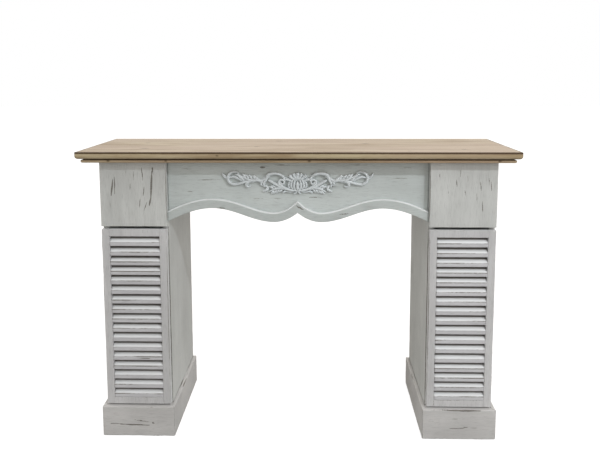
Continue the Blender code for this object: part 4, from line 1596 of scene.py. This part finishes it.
@dataclass
class LouvreDoor:
    """One louvred door: its stiles and rails, its slats and the hinges that carry it."""

    word: str
    side: int
    stile: float = 0.0225
    top_rail: float = 0.022
    bottom_rail: float = 0.021
    slat_count: int = 17
    pitch: float = 0.030
    lip: float = 0.012
    slat_depth: float = 0.018
    gap: float = 0.0003
    play: float = 0.00022
    knock: float = 0.0009

    @property
    def body(self) -> str:
        """Name of the door's body."""
        return f"door_{self.word}"

    def build_frame(self, shop: Workshop) -> None:
        """Make two stiles and two rails that meet in tight joints.

        Args:
            shop: What keeps the finishes.
        """
        low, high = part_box(f"door_frame_{self.word}")
        shell = Shell()
        inside = max(low.x, high.x) if self.side < 0 else min(low.x, high.x)
        worn = (Scar((inside, low.y, low.z), (inside, low.y, high.z), 0.0016, 0.72),)
        for number, (left, right) in enumerate(((low.x, low.x + self.stile),
                                                (high.x - self.stile, high.x))):
            Board((left, low.y, low.z), (right, high.y, high.z), arris=0.0011, wear=0.0009,
                  step=(0.008, 0.01, 0.007), seed=50.0 + number + 3 * self.side,
                  scars=worn).add_to(shell)
        inner_low = low.x + self.stile
        inner_high = high.x - self.stile
        for number, (bottom, top) in enumerate(((low.z, low.z + self.bottom_rail),
                                                (high.z - self.top_rail, high.z))):
            Board((inner_low, low.y, bottom), (inner_high, high.y, top), arris=0.0005,
                  wear=0.0003, step=(0.008, 0.01, 0.007),
                  seed=56.0 + number + 3 * self.side).add_to(shell)
        points = np.concatenate(shell.points)
        # Painted highlight on the door's inner side face and its top face
        edges = (np.abs(points[:, 0] - inside) < 0.0003) | (points[:, 2] > high.z - 0.0003)
        shell.values["fresh"] = [0.5 * edges]
        piece = shell.make(f"stiles_and_rails_{self.word}")
        shop.fit(piece, PaintFinish("brushed paint, door frame", Grain.UPRIGHT,
                                    light=srgb(209, 209, 210), dark=srgb(190, 190, 191),
                                    cover=-0.15, reach=0.08),
                 self.body, [f"door_frame_{self.word}"])

    def slat_mesh(self, length: float, middle: float, face: float) -> bpy.types.Object:
        """Return one slat that rises to the back from a flush front lip, at height 0.

        Args:
            length: Length of the slat.
            middle: Place of its middle along X.
            face: Depth of its front.

        Returns:
            The slat.
        """
        rise = self.pitch - self.lip - 2 * self.gap
        depth = self.slat_depth
        lip = self.lip
        soft = 0.0008
        # Depth, height, arris, painted highlight and painted shade of each line of the slat.
        # The highlight lies on the front of the slope, the shade deep in the slot and under the
        # front.
        section = [
            (depth, rise, 0.0, 0.0, 0.0), (depth, rise + lip, 0.0, 0.0, 0.0),
            (depth * 0.9, lip + rise * 0.9, 0.0, 0.0, 0.85),
            (depth * 0.62, lip + rise * 0.62, 0.0, 0.0, 0.85),
            (depth * 0.45, lip + rise * 0.45, 0.0, 0.7, 0.1),
            (depth * 0.25, lip + rise * 0.25, 0.0, 1.0, 0.0),
            (0.0026, lip + rise * 0.0026 / depth, 0.7, 1.0, 0.0),
            (soft, lip + rise * soft / depth, 1.0, 0.8, 0.0),
            (soft * 0.35, lip - soft * 0.05, 1.0, 0.2, 0.1),
            (0.0, lip - soft * 0.8, 1.0, 0.0, 0.2), (0.0, lip - 0.0024, 0.85, 0.0, 0.1),
            (0.0, lip - 0.0040, 0.3, 0.0, 0.0),
            (0.0, lip * 0.5, 0.0, 0.0, 0.0), (0.0, 0.0026, 0.1, 0.0, 0.0),
            (0.0, soft * 0.7, 0.4, 0.0, 0.0), (soft * 0.35, soft * 0.15, 0.4, 0.0, 0.2),
            (soft, soft * 0.95, 0.3, 0.0, 0.6), (0.004, 0.004 * rise / depth, 0.0, 0.0, 0.9),
            (0.009, 0.009 * rise / depth, 0.0, 0.0, 0.0),
        ]
        count = math.ceil(length / 0.005)
        xs = middle + np.linspace(-length / 2, length / 2, count + 1)
        rings = np.array([[(x, face + line[0], line[1]) for line in section] for x in xs])
        points, faces = sweep(rings)
        shell = Shell()
        values = {name: np.tile([line[place] for line in section], len(xs))
                  for place, name in ((2, "arris"), (3, "fresh"), (4, "stale"))}
        shell.add(points, faces, **values)
        return shell.make(f"louvre_slats_{self.word}")

    def louvre_tree(self, material: bpy.types.Material) -> bpy.types.NodeTree:
        """Build the nodes that repeat a slat down the door, each set a little differently.

        Args:
            material: Finish of the slats.

        Returns:
            A geometry tree with inputs for the count, pitch, first level and seed.
        """
        tree = bpy.data.node_groups.new(f"louvre {self.word}", "GeometryNodeTree")
        sockets = (("Geometry", "NodeSocketGeometry"), ("Count", "NodeSocketInt"),
                   ("Pitch", "NodeSocketFloat"), ("First Level", "NodeSocketFloat"),
                   ("Play", "NodeSocketFloat"), ("Knock", "NodeSocketFloat"),
                   ("Seed", "NodeSocketInt"))
        for label, kind in sockets:
            tree.interface.new_socket(name=label, in_out="INPUT", socket_type=kind)
        tree.interface.new_socket(name="Geometry", in_out="OUTPUT",
                                  socket_type="NodeSocketGeometry")
        graph = Graph(tree)
        given = graph.node("NodeGroupInput").outputs
        result = graph.node("NodeGroupOutput")
        down = graph.node("ShaderNodeCombineXYZ", {
            "Z": graph.math("MULTIPLY", given["Pitch"], -1.0)}).outputs[0]
        start = graph.node("ShaderNodeCombineXYZ", {"Z": given["First Level"]}).outputs[0]
        line = graph.node("GeometryNodeMeshLine", {"Count": given["Count"],
                                                   "Start Location": start, "Offset": down})
        play = graph.node("FunctionNodeRandomValue", {"Seed": given["Seed"]},
                          data_type="FLOAT_VECTOR")
        graph.feed(play.inputs[0], (0.0, 0.0, -1.0))
        graph.feed(play.inputs[1], (0.0, 1.0, 0.0))
        shift = graph.node("ShaderNodeVectorMath", {0: play.outputs[0], "Scale": given["Play"]},
                           operation="SCALE").outputs[0]
        moved = graph.node("GeometryNodeSetPosition", {"Geometry": line.outputs[0],
                                                       "Offset": shift})
        slats = graph.node("GeometryNodeInstanceOnPoints", {
            "Points": moved.outputs[0], "Instance": given["Geometry"]})
        real = graph.node("GeometryNodeRealizeInstances", {"Geometry": slats.outputs[0]})
        edge = graph.node("GeometryNodeInputNamedAttribute", {"Name": "arris"},
                          data_type="FLOAT")
        knocks = graph.noise(graph.node("GeometryNodeInputPosition").outputs[0], 70.0, 2.0)
        depth = graph.math("MULTIPLY", graph.ease(knocks, 0.5, 0.75), edge.outputs[0])
        depth = graph.math("MULTIPLY", depth, given["Knock"])
        back = graph.node("ShaderNodeCombineXYZ", {"Y": depth}).outputs[0]
        knocked = graph.node("GeometryNodeSetPosition", {"Geometry": real.outputs[0],
                                                         "Offset": back})
        coat = graph.node("GeometryNodeSetMaterial", {"Geometry": knocked.outputs[0],
                                                      "Material": material})
        graph.feed(result.inputs["Geometry"], coat.outputs[0])
        return tree

    def build_slats(self, shop: Workshop) -> None:
        """Repeat one slat down the door and make the result a plain mesh.

        Args:
            shop: What keeps the finishes.
        """
        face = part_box(f"door_frame_{self.word}")[0].y
        first_low, first_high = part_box(f"slat_{self.word}_01")
        length = first_high.x - first_low.x
        middle = (first_high.x + first_low.x) / 2
        carrier = self.slat_mesh(length, middle, face)
        finish = PaintFinish("brushed paint, slats", Grain.ACROSS, light=srgb(209, 209, 212),
                             dark=srgb(191, 191, 194), cover=0.0, reach=0.26,
                             wear_run=(0.4, 1.0, 1.0))
        tree = self.louvre_tree(shop.material(finish))
        repeat = carrier.modifiers.new("louvre", "NODES")
        repeat.node_group = tree
        values = {"Count": self.slat_count, "Pitch": self.pitch, "First Level": first_low.z,
                  "Play": self.play, "Knock": self.knock,
                  "Seed": LEFT_SEED if self.side < 0 else RIGHT_SEED}
        for socket in tree.interface.items_tree:
            if socket.item_type == "SOCKET" and socket.name in values:
                repeat[socket.identifier] = values[socket.name]
        mesh = evaluated_mesh(carrier)
        carrier.modifiers.clear()
        carrier.data = mesh
        shop.fit(carrier, finish, self.body,
                 [f"slat_{self.word}_{number:02d}" for number in range(1, self.slat_count + 1)])

    def dress_hinges(self, shop: Workshop) -> None:
        """Finish the hinge leaves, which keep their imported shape.

        Args:
            shop: What keeps the finishes.
        """
        steel = SteelFinish("dull steel")
        for place in ("lower", "upper"):
            for part in ("pillar", "door"):
                shop.finish_node(f"hinge_{place}_{part}_leaf_{self.word}", steel)

    def build(self, shop: Workshop) -> None:
        """Make the whole door.

        Args:
            shop: What keeps the finishes.
        """
        self.build_frame(shop)
        self.build_slats(shop)
        self.dress_hinges(shop)


@dataclass(frozen=True)
class Lamp:
    """A soft round lamp that hangs at a bearing from the front and a height in degrees."""

    name: str
    bearing: float
    height: float
    distance: float
    size: float
    power: float
    colour: Colour = (1.0, 1.0, 1.0)

    def hang(self) -> None:
        """Hang the lamp so that it shines on the middle of the object."""
        data = bpy.data.lights.new(self.name, "AREA")
        data.shape = "DISK"
        data.size = self.size
        data.energy = self.power
        data.color = self.colour
        lamp = add_object(self.name, data)
        bearing = math.radians(self.bearing)
        height = math.radians(self.height)
        away = Vector((math.sin(bearing) * math.cos(height),
                       -math.cos(bearing) * math.cos(height), math.sin(height)))
        lamp.location = Vector(LIT_POINT) + away * self.distance
        lamp.rotation_euler = away.to_track_quat("Z", "Y").to_euler()


@dataclass
class Studio:
    """Pale floor, white surroundings, soft lamps and the camera."""

    camera_place: Point = (0.055, -2.06, 1.115)
    camera_turn: tuple[float, float, float] = (83.6, 0.13, 1.4)
    focal_pixels: float = 648.0
    frame_width: float = 600.0
    shift_down: float = -0.13
    ambient: Colour = (1.0, 0.960, 0.905)
    ambient_strength: float = 0.64
    backdrop_gain: float = 0.75
    floor_size: float = 40.0
    floor_drop: float = 0.0004
    floor_colour: Colour = (0.36, 0.36, 0.355)
    floor_glow: float = 0.84
    sensor_width: float = 36.0
    lamps: tuple[Lamp, ...] = (
        Lamp("front_lamp", 41.0, 38.5, 4.2, 0.05, 42.0, (0.97, 1.0, 1.04)),
        Lamp("top_lamp", 8.0, 70.0, 3.0, 1.0, 9.0, (0.98, 1.0, 1.02)),
        Lamp("right_fill", 55.0, 12.0, 4.5, 2.0, 30.0),
        Lamp("left_fill", -78.0, 10.0, 4.5, 2.0, 24.0),
    )

    def build_floor(self) -> None:
        """Lay a wide pale floor that the camera sees as white where it is lit."""
        bpy.ops.mesh.primitive_plane_add(size=self.floor_size,
                                         location=(0.0, 0.0, -self.floor_drop))
        floor = bpy.context.object
        floor.name = "floor"
        material, graph, shader = new_material("pale floor")
        shader.inputs["Base Color"].default_value = (*self.floor_colour, 1.0)
        shader.inputs["Roughness"].default_value = 0.9
        shader.inputs["Specular IOR Level"].default_value = 0.1
        seen = graph.node("ShaderNodeLightPath").outputs["Is Camera Ray"]
        shader.inputs["Emission Color"].default_value = (1.0, 1.0, 1.0, 1.0)
        graph.feed(shader.inputs["Emission Strength"],
                   graph.math("MULTIPLY", seen, self.floor_glow))
        floor.data.materials.append(material)

    def build_surroundings(self) -> None:
        """Light the room evenly, and show white behind the object."""
        world = bpy.data.worlds.new("studio")
        bpy.context.scene.world = world
        world.use_nodes = True
        world.node_tree.nodes.clear()
        graph = Graph(world.node_tree)
        seen = graph.node("ShaderNodeLightPath").outputs["Is Camera Ray"]
        way = graph.node("ShaderNodeTexCoord").outputs["Generated"]
        behind = graph.node("ShaderNodeSeparateXYZ", {0: way}).outputs[1]
        gain = graph.ease(behind, 0.0, 0.7, 1.0, 1.0 + self.backdrop_gain)
        soft = graph.node("ShaderNodeBackground", {
            "Color": self.ambient, "Strength": graph.math("MULTIPLY", gain,
                                                          self.ambient_strength)})
        white = graph.node("ShaderNodeBackground", {"Color": (1.0, 1.0, 1.0),
                                                    "Strength": 1.0})
        both = graph.node("ShaderNodeMixShader", {0: seen, 1: soft.outputs[0],
                                                  2: white.outputs[0]})
        graph.node("ShaderNodeOutputWorld", {"Surface": both.outputs[0]})

    def build_camera(self) -> None:
        """Set the camera where the photograph was taken from."""
        data = bpy.data.cameras.new("camera")
        data.sensor_width = self.sensor_width
        data.lens = self.focal_pixels / self.frame_width * data.sensor_width
        data.shift_y = self.shift_down
        data.clip_end = 100.0
        camera = add_object("camera", data)
        camera.location = self.camera_place
        camera.rotation_euler = Euler([math.radians(angle) for angle in self.camera_turn])
        bpy.context.scene.camera = camera

    def build(self) -> None:
        """Set the whole stage."""
        bpy.context.scene.view_settings.view_transform = "Standard"
        self.build_floor()
        self.build_surroundings()
        for lamp in self.lamps:
            lamp.hang()
        self.build_camera()


def main() -> None:
    """Build every sub-assembly in order, and the stage."""
    logging.basicConfig(level=logging.INFO, format="%(message)s")
    shop = Workshop()
    Studio().build()
    Shelf().build(shop)
    Frieze().build(shop)
    Ornament().build(shop)
    for word, side in SIDES.items():
        Pillar(word, side).build(shop)
        LouvreDoor(word, side).build(shop)


if __name__ == "__main__":
    main()
